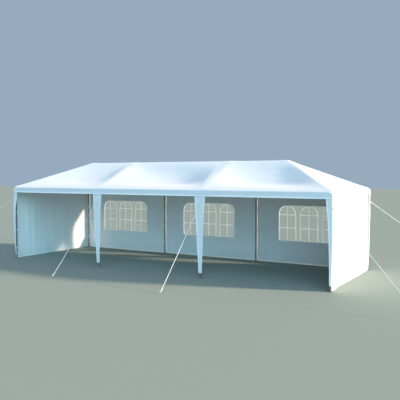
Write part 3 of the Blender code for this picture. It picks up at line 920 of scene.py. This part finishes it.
def cut_sheet(outline, holes, spacing, rows):
    """A flat sheet with holes as (points, triangles), with points of its own along each row under a tape."""
    loops = [outline_points(outline, spacing), *holes]
    points, edges = [], []
    for loop in loops:
        first = len(points)
        points += loop
        edges += [(first + i, first + (i + 1) % len(loop)) for i in range(len(loop))]
    points += [p for row in rows for p in row]

    def in_cloth(spots):
        outer, *cut = [inside(loop, spots) for loop in loops]
        return outer & ~np.any(cut, axis=0)

    rim = np.array(points)
    columns, levels = [np.arange(a + spacing / 2, b, spacing) for a, b in zip(rim.min(0), rim.max(0))]
    grid = np.array([(x + (j % 2) * spacing / 2, y) for j, y in enumerate(levels) for x in columns])
    grid = grid[in_cloth(grid)]
    points += [p for p in grid if np.hypot(*(rim - p).T).min() > 0.45 * spacing]
    made, _, triangles, *_ = delaunay_2d_cdt([Vector(p) for p in points], edges, [], 0, 1e-6)
    made, triangles = np.array([tuple(p) for p in made]), np.array(triangles)
    return made, triangles[in_cloth(made[triangles].mean(1))]


def add_sheet(name, finish, node, outline, holes, spacing, place, rows=(), thick=CLOTH, slot="white_fabric"):
    """A cut sheet as the piece that stands for a node, put in place by place(across, up, out)."""
    flat, triangles = cut_sheet(outline, holes, spacing, rows)
    used, renumbered = np.unique(triangles, return_inverse=True)
    flat, triangles = flat[used], renumbered.reshape(-1, 3)
    points = place(*flat.T, 0.0)
    first, second, third = points[triangles].transpose(1, 0, 2)
    outward = place(*flat.T, 0.01) - points
    if (np.cross(second - first, third - first) * outward[triangles[:, 0]]).sum() < 0:
        triangles = triangles[:, ::-1]
    piece = add_piece(name, make_mesh(name, points, triangles, flat), finish, node, slot=slot)
    thicken(piece, thick)
    return piece


def add_tapes(name, finish, paths, width, thick, place, out=0.0, closed=False, lines=TAPE_LINES, **more):
    """A piece of flat tapes of one width along paths in sheet coordinates, each a closed solid."""
    section = [(share, out - thick / 2) for share in lines]
    section += [(share, out + thick * (0.62 if abs(share) < 1 else 0.5)) for share in reversed(lines)]
    points, faces, maps = [], [], []
    for path in paths:
        path = np.array(path, float)
        ahead = np.roll(path, -1, 0) - path
        behind = path - np.roll(path, 1, 0)
        if not closed:
            ahead[-1], behind[0] = behind[-1], ahead[0]
        ahead = unit(ahead)
        way = unit(ahead + unit(behind))
        cosine = np.clip((way * ahead).sum(1), 0.5, 1)[:, None]
        side = leftward(way) / cosine * width / 2
        far = [0, *np.cumsum(np.linalg.norm(np.diff(path, axis=0), axis=1))]
        first, count = len(points), len(path)
        for share, depth in section:
            points += list(place(*(path + side * share).T, depth))
            maps += [(share * width / 2, along) for along in far]
        faces += list(first + quads(len(section), count, True, closed))
        if not closed:
            end = first + np.arange(len(section)) * count
            faces += [end, end[::-1] + count - 1]
    mesh = outward_mesh(make_mesh(name, points, faces, maps, smooth=False))
    return add_piece(name, mesh, finish, **more)


# Walls and windows

WALL_TAPE = 0.03  # width of a wall's hem
WALL_ROW = 0.010  # from a tape's middle to its stitches
WALL_STITCH = 0.014
SHEET_STEP = 0.06  # between points of a wall or film
TAPE_STEP = 0.015  # between points along the foot of a wall, where its folds are deepest under the hem
END_SEAM = 0.86  # from the middle of an end wall to its seam
SEAM_HALF = 0.016
EDGE_SLACK = {"left": 0.034, "middle": 0.034, "right": 0.025}  # how far a back wall's left edge stands off
EDGE_BOW = 0.012  # how much further it stands off between two ties
TIE_SLACK = 0.030
TIE_STEP = 0.5
BILLOW = 0.016  # how far a wall's cloth bellies, folds and puckers
WALL_FOLD = 0.0050
PUCKER = 0.0016
TIE_HEIGHTS = (0.35, 0.85, 1.35, 1.80)
END_TIE_HEIGHTS = (0.30, 0.80, 1.30, 1.75)
BEAD = 0.008  # radius of the piping round a window, on its outer side
BORDER_STEP = 0.025  # between points along a window's edge
BORDER_WIDTH = 0.032
BORDER_THICK = 0.003
BORDER_PLACE = 0.008  # from the hole's edge out to the border's middle
BORDER_ROWS = (0.002, 0.018)  # from the hole's edge out to the border's stitches
FILM_OVERLAP = 0.012
FILM_THICK = 0.0006
PRINT_WIDTH = 0.014
PRINT_THICK = 0.0009
ARCH_MIDDLES = (-0.60, 0.0, 0.60)
ARCH_HALF = 0.235
ARCH_SPRING = 1.29
ARCH_RISE = 0.232
CROSS_BAR = 0.94


def window_outline(shrink):
    """A window's outline in sheet coordinates, with rounded upper corners."""
    half, low, radius = WINDOW_HALF - shrink, WINDOW_LOW + shrink, WINDOW_CORNER - shrink
    outline = [(-half, low), (half, low)]
    for sign, first in ((1, 0), (-1, 90)):
        x, z = sign * (WINDOW_HALF - WINDOW_CORNER), WINDOW_HIGH - WINDOW_CORNER
        for i in range(9):
            angle = math.radians(first + 90 * i / 8)
            outline.append((x + radius * math.cos(angle), z + radius * math.sin(angle)))
    return outline


def window_pattern():
    """Three arches side by side, each with a middle bar and two cross bars that end at the bars they meet."""
    paths = []
    low, edge = WINDOW_LOW + 0.01, PRINT_WIDTH / 2
    for middle in ARCH_MIDDLES:
        arch = [(middle - ARCH_HALF, z) for z in np.linspace(low, ARCH_SPRING, 12)]
        for i in range(1, 12):
            angle = math.pi * (1 - i / 12)
            arch.append((middle + ARCH_HALF * math.cos(angle), ARCH_SPRING + ARCH_RISE * math.sin(angle)))
        arch += [(middle + ARCH_HALF, z) for z in np.linspace(ARCH_SPRING, low, 12)]
        paths += [arch, run((middle, low), (middle, ARCH_SPRING + ARCH_RISE - edge))]
        for height in (CROSS_BAR, ARCH_SPRING):
            for way in (-1, 1):
                paths.append(run((middle + way * edge, height), (middle + way * (ARCH_HALF - edge), height)))
    return paths


def wall_placer(centre, turn, seed):
    """place() for a wall: upright behind its legs, with soft billow and hanging folds."""
    turning = np.array(Matrix.Rotation(turn, 3, "Z"))

    def place(across, up, out):
        down = EAVE_AXIS - up
        edge = soft_step((WALL_HALF - np.abs(across)) / 0.35)
        billow = BILLOW * edge * soft_step(down / 0.5) * ripples(across, up, 1.7, seed, 5, 0.8)
        fold = WALL_FOLD * edge * ripples(across, up * 0.08, 0.22, seed + 1, 7) * soft_step(down / 0.25)
        pucker = PUCKER * (1 - np.cos(2 * math.pi * across / TIE_STEP)) * bell(down, 0.12) * edge
        depth = WALL_PLACE + billow + fold + pucker + out
        return np.stack([across, depth, up], 1) @ turning.T + np.array(centre)

    return place


def build_window(window, place):
    """A window's film, border, piping and print: (the parts sewn to its wall, rows of stitches, its area)."""
    outline = window_outline(0.0)
    area = abs(sum(a[0] * b[1] - b[0] * a[1] for a, b in zip(outline, outline[1:] + outline[:1]))) / 2
    border = [outline_points(window_outline(-BORDER_PLACE), BORDER_STEP)]
    width, thick = BORDER_WIDTH, BORDER_THICK
    parts = [add_tapes(f"{window}_border", HEM_WHITE, border, width, thick, place, closed=True)]
    loop = outline_points(window_outline(BEAD), 0.05)
    loop = np.array(loop + loop[:1])
    mesh = swept_bar(f"{window}_piping", place(*loop.T, BEAD + 0.0006), BEAD, 10)
    parts.append(add_piece(f"{window}_piping", mesh, HEM_WHITE))
    outline, clear = window_outline(-FILM_OVERLAP), {"slot": "clear_film"}
    add_sheet(f"{window}_film", FILM, window, outline, [], SHEET_STEP, place, thick=FILM_THICK, **clear)
    bars = window_pattern()
    parts.append(add_tapes(f"{window}_print", PRINT, bars, PRINT_WIDTH, PRINT_THICK, place, **clear))
    rows = []
    for grown in BORDER_ROWS:
        seam = outline_points(window_outline(-grown), 0.03)
        rows += [sheet_row(seam + seam[:1], place, out) for out in (-0.0019, 0.0019)]
    return parts, rows, area


def build_wall(name, centre, turn, seed, window=None, seam=None, slack=0.0):
    place = wall_placer(centre, turn, seed)
    start = -WALL_HALF + slack
    bowed = EDGE_BOW if slack else 0.0

    def left_edge(inset):
        """The left edge from the top down, bowed off its leg between the ties of a back wall."""
        heights = np.linspace(EAVE_AXIS - inset, WALL_LOW + inset, 40)
        bow = bowed * np.sin(math.pi * (heights - TIE_HEIGHTS[0]) / TIE_STEP) ** 2
        return [(float(start + inset + b), float(z)) for b, z in zip(bow, heights)]

    foot = run((start, WALL_LOW), (WALL_HALF, WALL_LOW), TAPE_STEP)[1:-1]
    outline = [(WALL_HALF, WALL_LOW), (WALL_HALF, EAVE_AXIS), *left_edge(0.0), *foot]
    holes = [outline_points(window_outline(0.0), BORDER_STEP)] if window else []
    under = [[(x, WALL_LOW + WALL_TAPE) for x, _ in foot[2:-2]]]
    if seam:
        for x in (seam - SEAM_HALF, seam, seam + SEAM_HALF):
            under.append(run((x, WALL_LOW + 0.06), (x, EAVE_AXIS - 0.06)))
    if window:
        under.append(outline_points(window_outline(-0.026), BORDER_STEP))
    wall = add_sheet(f"{name}_cloth", WALL_WHITE, name, outline, holes, SHEET_STEP, place, under)
    inset = WALL_TAPE / 2 - 0.001
    left, right = start + inset, WALL_HALF - inset
    low, high = WALL_LOW + inset, EAVE_AXIS - inset
    paths = [
        left_edge(inset)[::-1],
        run((right, low), (right, high)),
        run((left + inset, low), (right - inset, low), TAPE_STEP),
        run((left + inset, high), (right - inset, high)),
    ]
    if seam:
        paths.append(run((seam, low + inset), (seam, high - inset)))
    parts = [add_tapes(f"{name}_hem", HEM_WHITE, paths, WALL_TAPE, HEM_THICK, place, 0.0003)]
    rows = []
    for path, inner in zip(paths, (-1, 1, 1, -1, 1)):
        rows += [sheet_row(beside(path, inner * WALL_ROW), place, out) for out in (-0.0010, 0.0016)]
    height = EAVE_AXIS - WALL_LOW
    area = (WALL_HALF - start - bowed / 2) * height
    if window:
        window_parts, window_rows, window_area = build_window(window, place)
        parts += window_parts
        rows += window_rows
        area -= window_area
    parts.append(add_stitches(f"{name}_stitches", rows, WALL_STITCH))


def build_walls():
    for end, x, seed in (("left", -HALF_LENGTH, 31), ("right", HALF_LENGTH, 41)):
        hand = math.copysign(1, -x)
        rail = f"eave_rail_{end}_end"
        build_wall(f"{end}_end_wall", (x, 0, 0), hand * math.pi / 2, seed, seam=hand * END_SEAM)
    for i, (bay, x) in enumerate(BAYS.items()):
        centre, rail, window = (x, HALF_DEPTH, 0), f"eave_rail_back_{bay}", f"window_{bay}"
        build_wall(f"back_wall_{bay}", centre, 0.0, 51 + 10 * i, window, slack=EDGE_SLACK[bay])


# Leg covers

COVER_TAPER = 0.0455  # how much wider a cover's half gets with each metre up
COVER_SPREAD = 0.018  # how much wider still it gets towards the valance
COVER_BOW = 0.006  # how far a cover's middle stands out, and more on the front corners
FRONT_CORNER_BOW = 0.018
COVER_WAVE = 0.0030
COVER_TAPE = 0.022
COVER_INSET = 0.010  # from a cover's edge to the middle of its hem
COVER_ROW = 0.018  # from its edge to its stitches
EYELET_HOLE = 0.0155
EYELET = [(0.0145, 0.0), (0.0155, 0.0016), (0.0185, 0.0022), (0.0215, 0.0014), (0.0222, 0.0),
          (0.0215, -0.0014), (0.0185, -0.0022), (0.0155, -0.0016), (0.0145, 0.0)]


def leg_turn(side, place):
    """How far a leg's cover is turned from the one on the front left leg or on a front middle leg."""
    if place.startswith("mid"):
        return 0.0 if side == "front" else math.pi
    quarters = {("front", "left"): 0, ("front", "right"): 1, ("back", "right"): 2, ("back", "left"): 3}
    return quarters[side, place] * math.pi / 2


def cover_half_width(up):
    return COVER_FOOT_HALF + COVER_TAPER * (up - COVER_LOW) + COVER_SPREAD * np.exp((up - HEM_LINE) / 0.35)


def cover_placer(side, place_name, seed):
    """place() for a leg cover: flat in front of a middle leg, folded round a corner leg."""
    turning = np.array(Matrix.Rotation(leg_turn(side, place_name), 3, "Z"))
    foot = np.array([PLACES[place_name], SIDES[side], 0.0])
    folded = not place_name.startswith("mid")
    bow = FRONT_CORNER_BOW if folded and side == "front" else COVER_BOW

    def place(across, up, out):
        share = np.clip((up - COVER_LOW) / (HEM_LINE - COVER_LOW), 0, 1)
        loose = soft_step((HEM_LINE - 0.04 - up) / 0.35)
        base = COVER_FOOT + (COVER_PLACE - COVER_FOOT) * share + bow * np.sin(math.pi * share**1.15) * loose
        base = base + COVER_WAVE * loose * (1 + ripples(across * 2.2, up, 0.62, seed, 6))
        if not folded:
            curl = 0.5 * across**2 * loose
            return np.stack([across, -(base + curl + out), up], 1) @ turning.T + foot
        arc = COVER_FOLD * math.pi / 4
        reach = np.abs(across)
        turn = np.minimum(reach, arc) / COVER_FOLD - math.pi / 4
        run_on = np.maximum(reach - arc, 0.0)
        centre = COVER_FOLD - base
        along = centre + (COVER_FOLD + out) * np.sin(turn) + run_on
        off = centre - (COVER_FOLD + out) * np.cos(turn) - 0.10 * run_on**2 * loose
        right = across >= 0
        local = np.stack([np.where(right, along, off), np.where(right, off, along), up], 1)
        return local @ turning.T + foot

    return place


def rope_run(side, place):
    """The two ends of a guy rope's straight run, its pin and its peg's foot."""
    foot = Vector((PLACES[place], SIDES[side], 0))
    outward = -1 if side == "front" else 1
    if place.startswith("mid"):
        pin = Vector((0, outward * PIN_REACH, PIN_HEIGHT))
        peg = Vector((MIDDLE_PEGS[place][0], outward * MIDDLE_PEGS[place][1], 0))
    else:
        along = -1 if place == "left" else 1
        reach = CORNER_PIN_REACH / math.sqrt(2)
        pin = Vector((along * reach, outward * reach, PIN_HEIGHT))
        peg = Vector((along * CORNER_PEG[0], outward * CORNER_PEG[1], 0))
    flat = Vector((pin.x - peg.x, pin.y - peg.y, 0)).normalized()
    low = peg + UP * PEG_LOOP_HEIGHT + flat * (PEG + ROPE)
    high = pin - UP * (PIN_RADIUS + 0.0003 + ROPE)
    return foot + high, foot + low, foot + pin, foot + peg


def eyelet_spot(place, start, end):
    """Where a guy rope passes a cover, in the cover's own coordinates."""
    across, up = [c.ravel() for c in np.meshgrid(np.linspace(-0.02, 0.02, 81), np.linspace(1.65, 1.71, 121))]
    way = np.array((end - start).normalized())
    offset = place(across, up, 0.0) - np.array(start)
    best = np.argmin(((offset - np.outer(offset @ way, way)) ** 2).sum(1))
    return across[best], up[best]


def build_cover(name, side, place_name, seed):
    folded = not place_name.startswith("mid")
    place = cover_placer(side, place_name, seed)
    levels = np.linspace(COVER_LOW, COVER_HIGH, 61)
    right = [(float(cover_half_width(z)), float(z)) for z in levels]
    left = [(-x, z) for x, z in reversed(right)]
    start, end, *_ = rope_run(side, place_name)
    across, up = eyelet_spot(place, start, end)
    angles = np.linspace(0, 2 * math.pi, 17)[:-1]
    hole = [(across + EYELET_HOLE * math.cos(a), up + EYELET_HOLE * math.sin(a)) for a in angles]
    # The back covers take their tinted copy of the sheeting: painted light for their glow behind the back
    # legs.
    finish, step = COVER_WHITE if side == "front" else BACKLIT_COVER_TINT, 0.013 if folded else 0.022
    cloth = add_sheet(f"{name}_cloth", finish, name, right + left, [hole], step, place)
    paths = [[(sign * (x - COVER_INSET), z) for x, z in right] for sign in (-1, 1)]
    for edge, z in ((COVER_FOOT_HALF, COVER_LOW + COVER_INSET), (right[-1][0], COVER_HIGH - COVER_INSET)):
        half = edge - COVER_TAPE / 2
        paths.append(run((-half, z), (half, z), 0.012 if folded else 0.03))
    hem = add_tapes(f"{name}_hem", HEM_WHITE, paths, COVER_TAPE, HEM_THICK, place)
    rows = []
    for sign in (-1, 1):
        row = [(sign * (x - COVER_ROW), z) for x, z in right]
        rows += [sheet_row(row, place, out) for out in (-0.0013, 0.0013)]
    thread = add_stitches(f"{name}_stitches", rows)
    mesh = turned_shape(f"{name}_eyelet", EYELET, 24)
    spots = np.array([v.co for v in mesh.vertices]) + (across, up, 0)
    mesh.vertices.foreach_set("co", place(*spots.T).ravel())
    parts = [hem, thread, add_piece(f"{name}_eyelet", outward_mesh(mesh), PLASTIC)]


def build_covers():
    for side in SIDES:
        for number, place_name in enumerate(PLACES):
            seed = 100 + 10 * number + (side == "back")
            build_cover(f"leg_cover_{side}_{place_name}", side, place_name, seed)


# Guy ropes and pegs

ROPE_GAP = 0.0062  # from a rope's middle line to each of its two parts beside a loop
ROPE_SAG = 0.012
WHIPPING = 0.0138  # radius of the coils that hold the two parts together
WHIPPING_LENGTH = 0.030
WHIPPING_TURNS = 4
ROPE_LAY = {"Strand": 0.0031, "Orbit": 0.0027, "Lay": 0.042, "Strands": 3}
WHIP_LAY = {"Strand": 0.0013, "Orbit": 0.0011, "Lay": 0.014, "Strands": 3}
PEG_BEND = 0.009
HOOK_BEND = 0.007


def circle(centre, across, other, radius, first, last, steps):
    """Points of an arc in the plane of two directions, in degrees."""
    angles = [math.radians(first + (last - first) * i / steps) for i in range(steps + 1)]
    return [centre + across * radius * math.cos(a) + other * radius * math.sin(a) for a in angles]


def coil(start, way, side):
    """Points of a whipping's helix round a line."""
    other = way.cross(side)
    steps = 14 * WHIPPING_TURNS
    points = []
    for i in range(steps + 1):
        a = 2 * math.pi * WHIPPING_TURNS * i / steps
        around = (side * math.cos(a) + other * math.sin(a)) * WHIPPING
        points.append(start + way * WHIPPING_LENGTH * i / steps + around)
    return points


def rope_paths(high, low, pin, peg):
    """A guy rope's paths: its run with both loops, and the whipping under and over them."""
    line, span = (low - high).normalized(), (low - high).length
    pin_way = Vector((pin.x - peg.x, pin.y - peg.y, 0)).normalized()
    side = pin_way.cross(UP)
    gap = side * ROPE_GAP

    def spread(distance, reach):
        """Beside the line near a loop, on the line past reach."""
        return gap * (1 - soft_step(max(0.0, distance - reach) / 0.05))

    path = [high + line * d - gap for d in (0.115, 0.09, 0.06, 0.04, 0.026)]
    path += circle(pin, side, UP, PIN_RADIUS + 0.0009 + ROPE, -60, 240, 16)
    path += [high + line * d + spread(d, 0.10) for d in (0.026, 0.04, 0.06, 0.1, 0.15)]
    for i in range(1, 40):
        share = i / 40
        path.append(high + line * (0.15 + (span - 0.27) * i / 40) - UP * ROPE_SAG * 4 * share * (1 - share))
    path += [high + line * (span - d) + spread(d, 0.07) for d in (0.12, 0.085, 0.06, 0.04)]
    path += circle(peg + UP * PEG_LOOP_HEIGHT, side, pin_way, PEG + ROPE, 60, -240, 16)
    path += [high + line * (span - d) - gap for d in (0.04, 0.06, 0.085, 0.105)]
    return path, [coil(high + line * d, line, side) for d in (0.058, span - 0.070)]


def peg_path(pin, peg):
    """A peg's path from the ground up and over its hook."""
    away = Vector((peg.x - pin.x, peg.y - pin.y, 0)).normalized()
    top = peg + UP * (PEG_HEIGHT - PEG)
    tip = top + away * (HOOK - 0.008)
    path = [peg, peg + UP * 0.02, top - UP * PEG_BEND]
    path += circle(top - UP * PEG_BEND + away * PEG_BEND, -away, UP, PEG_BEND, 0, 90, 6)[1:]
    return path + [tip] + circle(tip - UP * HOOK_BEND, UP, away, HOOK_BEND, 0, 80, 5)[1:]


def build_ropes():
    for side in SIDES:
        for place_name in PLACES:
            name = f"guy_rope_{side}_{place_name}"
            high, low, pin, peg = rope_run(side, place_name)
            path, whips = rope_paths(high, low, pin, peg)
            laid = LAID_ROPE.grow(name, source_mesh(name, [path]), Finish=ROPE_WHITE, **ROPE_LAY)
            whip = LAID_ROPE.grow(name, source_mesh(name, whips), Finish=ROPE_WHITE, **WHIP_LAY)
            mesh = outward_mesh(laid, whip)
            mesh.shade_smooth()
            add_piece(f"{name}_line", mesh, ROPE_WHITE, name, slot="rope")
            mesh = swept_bar(f"{name}_peg", peg_path(pin, peg), PEG)
            add_piece(f"{name}_peg", mesh, ZINC, name, slot="frame_steel")


# Steel details and ties

TO_BOLT = 0.062  # from a connector's middle to the bolt through each sleeve
STRAP = (0.0125, 0.0006)  # half width and half thickness of a tie
ROUND_LEG = LEG + 0.0012  # radii of the ties' turns
ROUND_RAIL = TUBE + 0.0010


def build_fasteners():
    """Bolts through the connector sleeves, and the weld round each foot."""
    down, across, deep = -UP, (1, 0, 0), (0, 1, 0)
    hip = Vector((HALF_DEPTH, HALF_DEPTH, RIDGE_AXIS - EAVE_AXIS)).normalized()
    rafter = Vector((0, HALF_DEPTH, RIDGE_AXIS - EAVE_AXIS)).normalized()
    bolts = []

    def through_sleeve(hub, way, look, ends=(-1, 1)):
        way, look = Vector(way).normalized(), Vector(look)
        look = (look - way * look.dot(way)).normalized()
        for sign in ends:
            bolts.append((Vector(hub) + way * TO_BOLT + look * sign * (SLEEVE - 0.0004), look * sign, way))

    for y in SIDES.values():
        for x in PLACES.values():
            hub = (x, y, EAVE_AXIS)
            inward, toward = -math.copysign(1, y), -math.copysign(1, x)
            if abs(x) == HALF_BAY:
                look, roof = across, (0, rafter.y * inward, rafter.z)
                rails = ((-1, 0, 0), (1, 0, 0))
            else:
                look, roof = (1, -toward * inward, 0), (hip.x * toward, hip.y * inward, hip.z)
                rails = ((toward, 0, 0), (0, inward, 0))
            through_sleeve(hub, down, look)
            through_sleeve(hub, roof, look)
            for rail in rails:
                through_sleeve(hub, rail, down, (1,))
    for x in (-RIDGE_END, -HALF_BAY, HALF_BAY, RIDGE_END):
        hub = (x, 0, RIDGE_AXIS)
        if abs(x) == HALF_BAY:
            for way in (-1, 1):
                through_sleeve(hub, (way, 0, 0), deep)
                through_sleeve(hub, (0, rafter.y * way, -rafter.z), across)
        else:
            outward = math.copysign(1, x)
            through_sleeve(hub, (-outward, 0, 0), deep)
            for way in (-1, 1):
                through_sleeve(hub, (hip.x * outward, hip.y * way, -hip.z), (1, -outward * way, 0))
    profile = [(0.0, -0.0006), (0.0062, -0.0006), (0.0062, 0.0008), (0.0050, 0.0009), (0.0046, 0.0026),
               (0.0032, 0.0036), (0.0016, 0.0040), (0.0015, 0.0028), (0.0, 0.0028)]
    set_shapes("sleeve_bolts", turned_shape("button_head", profile, 12), bolts, ZINC, "frame_steel")
    profile = [(LEG - 0.0006, 0.0036), (LEG + 0.0046, 0.0036), (LEG + 0.0038, 0.0052),
               (LEG + 0.0018, 0.0072), (LEG - 0.0006, 0.0086), (LEG - 0.0006, 0.0036)]
    feet = [((x, y, 0), UP, across) for y in SIDES.values() for x in PLACES.values()]
    set_shapes("foot_welds", turned_shape("weld_bead", profile, 24), feet, STEEL, "frame_steel")


def tie_path(radius, reach, slack=0.0):
    """A loop that goes round a tube at the origin and meets the cloth at reach, slack further on one side."""
    turn = [(radius * math.cos(a), -radius * math.sin(a)) for a in np.linspace(0, math.pi, 15)]
    start = [(radius + slack, reach), (radius + slack * 0.2, reach * 0.5)]
    return [(x, y, 0) for x, y in [*start, *turn, (-radius, reach * 0.5), (-radius, reach)]]


def rail_tie_path(radius, reach):
    """A loop from the cloth below a rail, round the rail's inner side and top, back to the cloth."""
    angles = np.linspace(math.radians(12), math.radians(250), 19)
    turn = [(radius * math.cos(a), -radius * math.sin(a)) for a in angles]
    start = [(0.034, reach), (0.027, reach), (radius + 0.002, reach * 0.55)]
    return [(x, y, 0) for x, y in [*start, *turn, (0.0, reach - 0.0006), (0.010, reach)]]


def build_ties():
    """Webbing loops that hold the walls to the legs and the eave rails."""
    reach = WALL_PLACE - 0.0017
    strap = (*STRAP, UP)
    on_leg = swept_bar("leg_tie", tie_path(ROUND_LEG, reach), 0, 4, strap)
    on_rail = swept_bar("rail_tie", rail_tie_path(ROUND_RAIL, reach), 0, 4, strap)
    far = swept_bar("far_tie", tie_path(ROUND_LEG, reach, TIE_SLACK), 0, 4, strap)
    legs, far_legs, rails = [], [], []
    for place, x in PLACES.items():
        for height in TIE_HEIGHTS:
            (legs if place == "right" else far_legs).append(((x, HALF_DEPTH, height), UP, (1, 0, 0)))
    for sign in (-1, 1):
        for height in END_TIE_HEIGHTS:
            for y in SIDES.values():
                legs.append(((sign * HALF_LENGTH, y, height), UP, (0, -sign, 0)))
    steps = TIE_STEP * np.arange(-2, 3)
    for x in BAYS.values():
        rails += [((x + step, HALF_DEPTH, EAVE_AXIS), (1, 0, 0), -UP) for step in steps]
    for sign in (-1, 1):
        rails += [((sign * HALF_LENGTH, step, EAVE_AXIS), (0, -sign, 0), -UP) for step in steps]
    set_shapes("leg_ties", on_leg, legs, WEBBING)
    set_shapes("slack_leg_ties", far, far_legs, WEBBING)
    set_shapes("rail_ties", on_rail, rails, WEBBING)


# Stage

FLOOR_REACH = 90.0
LAMPS = (  # name, energy, spread in degrees, colour and where it stands
    ("key", 8.0, 6, (1.0, 0.80, 0.62), (1.0, 0.30, 0.36)),
    ("top", 0.44, 60, (1.0, 0.72, 0.72), (0.25, -0.1, 1.0)),
    ("front", 2.43, 60, (0.395, 0.785, 1.0), (0.8, -1.0, 0.6)),
)
SKY = (0.60, 0.79, 1.0, 1)
SKY_STRENGTH = 0.515
LENS = 49.788
CAMERA_PLACE = (7.787, -12.292, 2.324)
CAMERA_TILT = 87.485
CAMERA_TURN = 30.309


def build_stage():
    corners = [(x * FLOOR_REACH, y * FLOOR_REACH, 0) for x, y in ((-1, -1), (1, -1), (1, 1), (-1, 1))]
    floor = new_object("floor", make_mesh("floor", corners, [(0, 1, 2, 3)], smooth=False))
    finish = Finish("plain_floor", (0.245, 0.285, 0.255), 0.9, Specular_IOR_Level=0.1)
    floor.data.materials.append(finish.material)
    world = bpy.data.worlds.new("pale sky")
    world.use_nodes = True
    background = world.node_tree.nodes["Background"].inputs
    background["Color"].default_value = SKY
    background["Strength"].default_value = SKY_STRENGTH
    bpy.context.scene.world = world
    bpy.context.scene.view_settings.view_transform = "Standard"
    for name, energy, spread, colour, towards in LAMPS:
        light = bpy.data.lights.new(name, "SUN")
        light.energy = energy
        light.angle = math.radians(spread)
        light.color = colour
        new_object(name, light).rotation_euler = Vector(towards).to_track_quat("Z", "Y").to_euler()
    lens = bpy.data.cameras.new("camera")
    lens.lens = LENS
    lens.sensor_width = 36.0
    lens.clip_end = 500
    camera = new_object("camera", lens)
    camera.location = CAMERA_PLACE
    camera.rotation_euler = (math.radians(CAMERA_TILT), 0, math.radians(CAMERA_TURN))
    bpy.context.scene.camera = camera


for startup in ("Cube", "Light", "Camera"):
    if startup in bpy.data.objects:
        bpy.data.objects.remove(bpy.data.objects[startup])

build_stage()
build_canopy()
build_walls()
build_covers()
build_ropes()
build_fasteners()
build_ties()
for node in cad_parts.values():
    if node.name.startswith(("leg_front", "leg_back", "eave", "rafter", "hip", "ridge")):
        for holder in node.material_slots:
            holder.material = STEEL
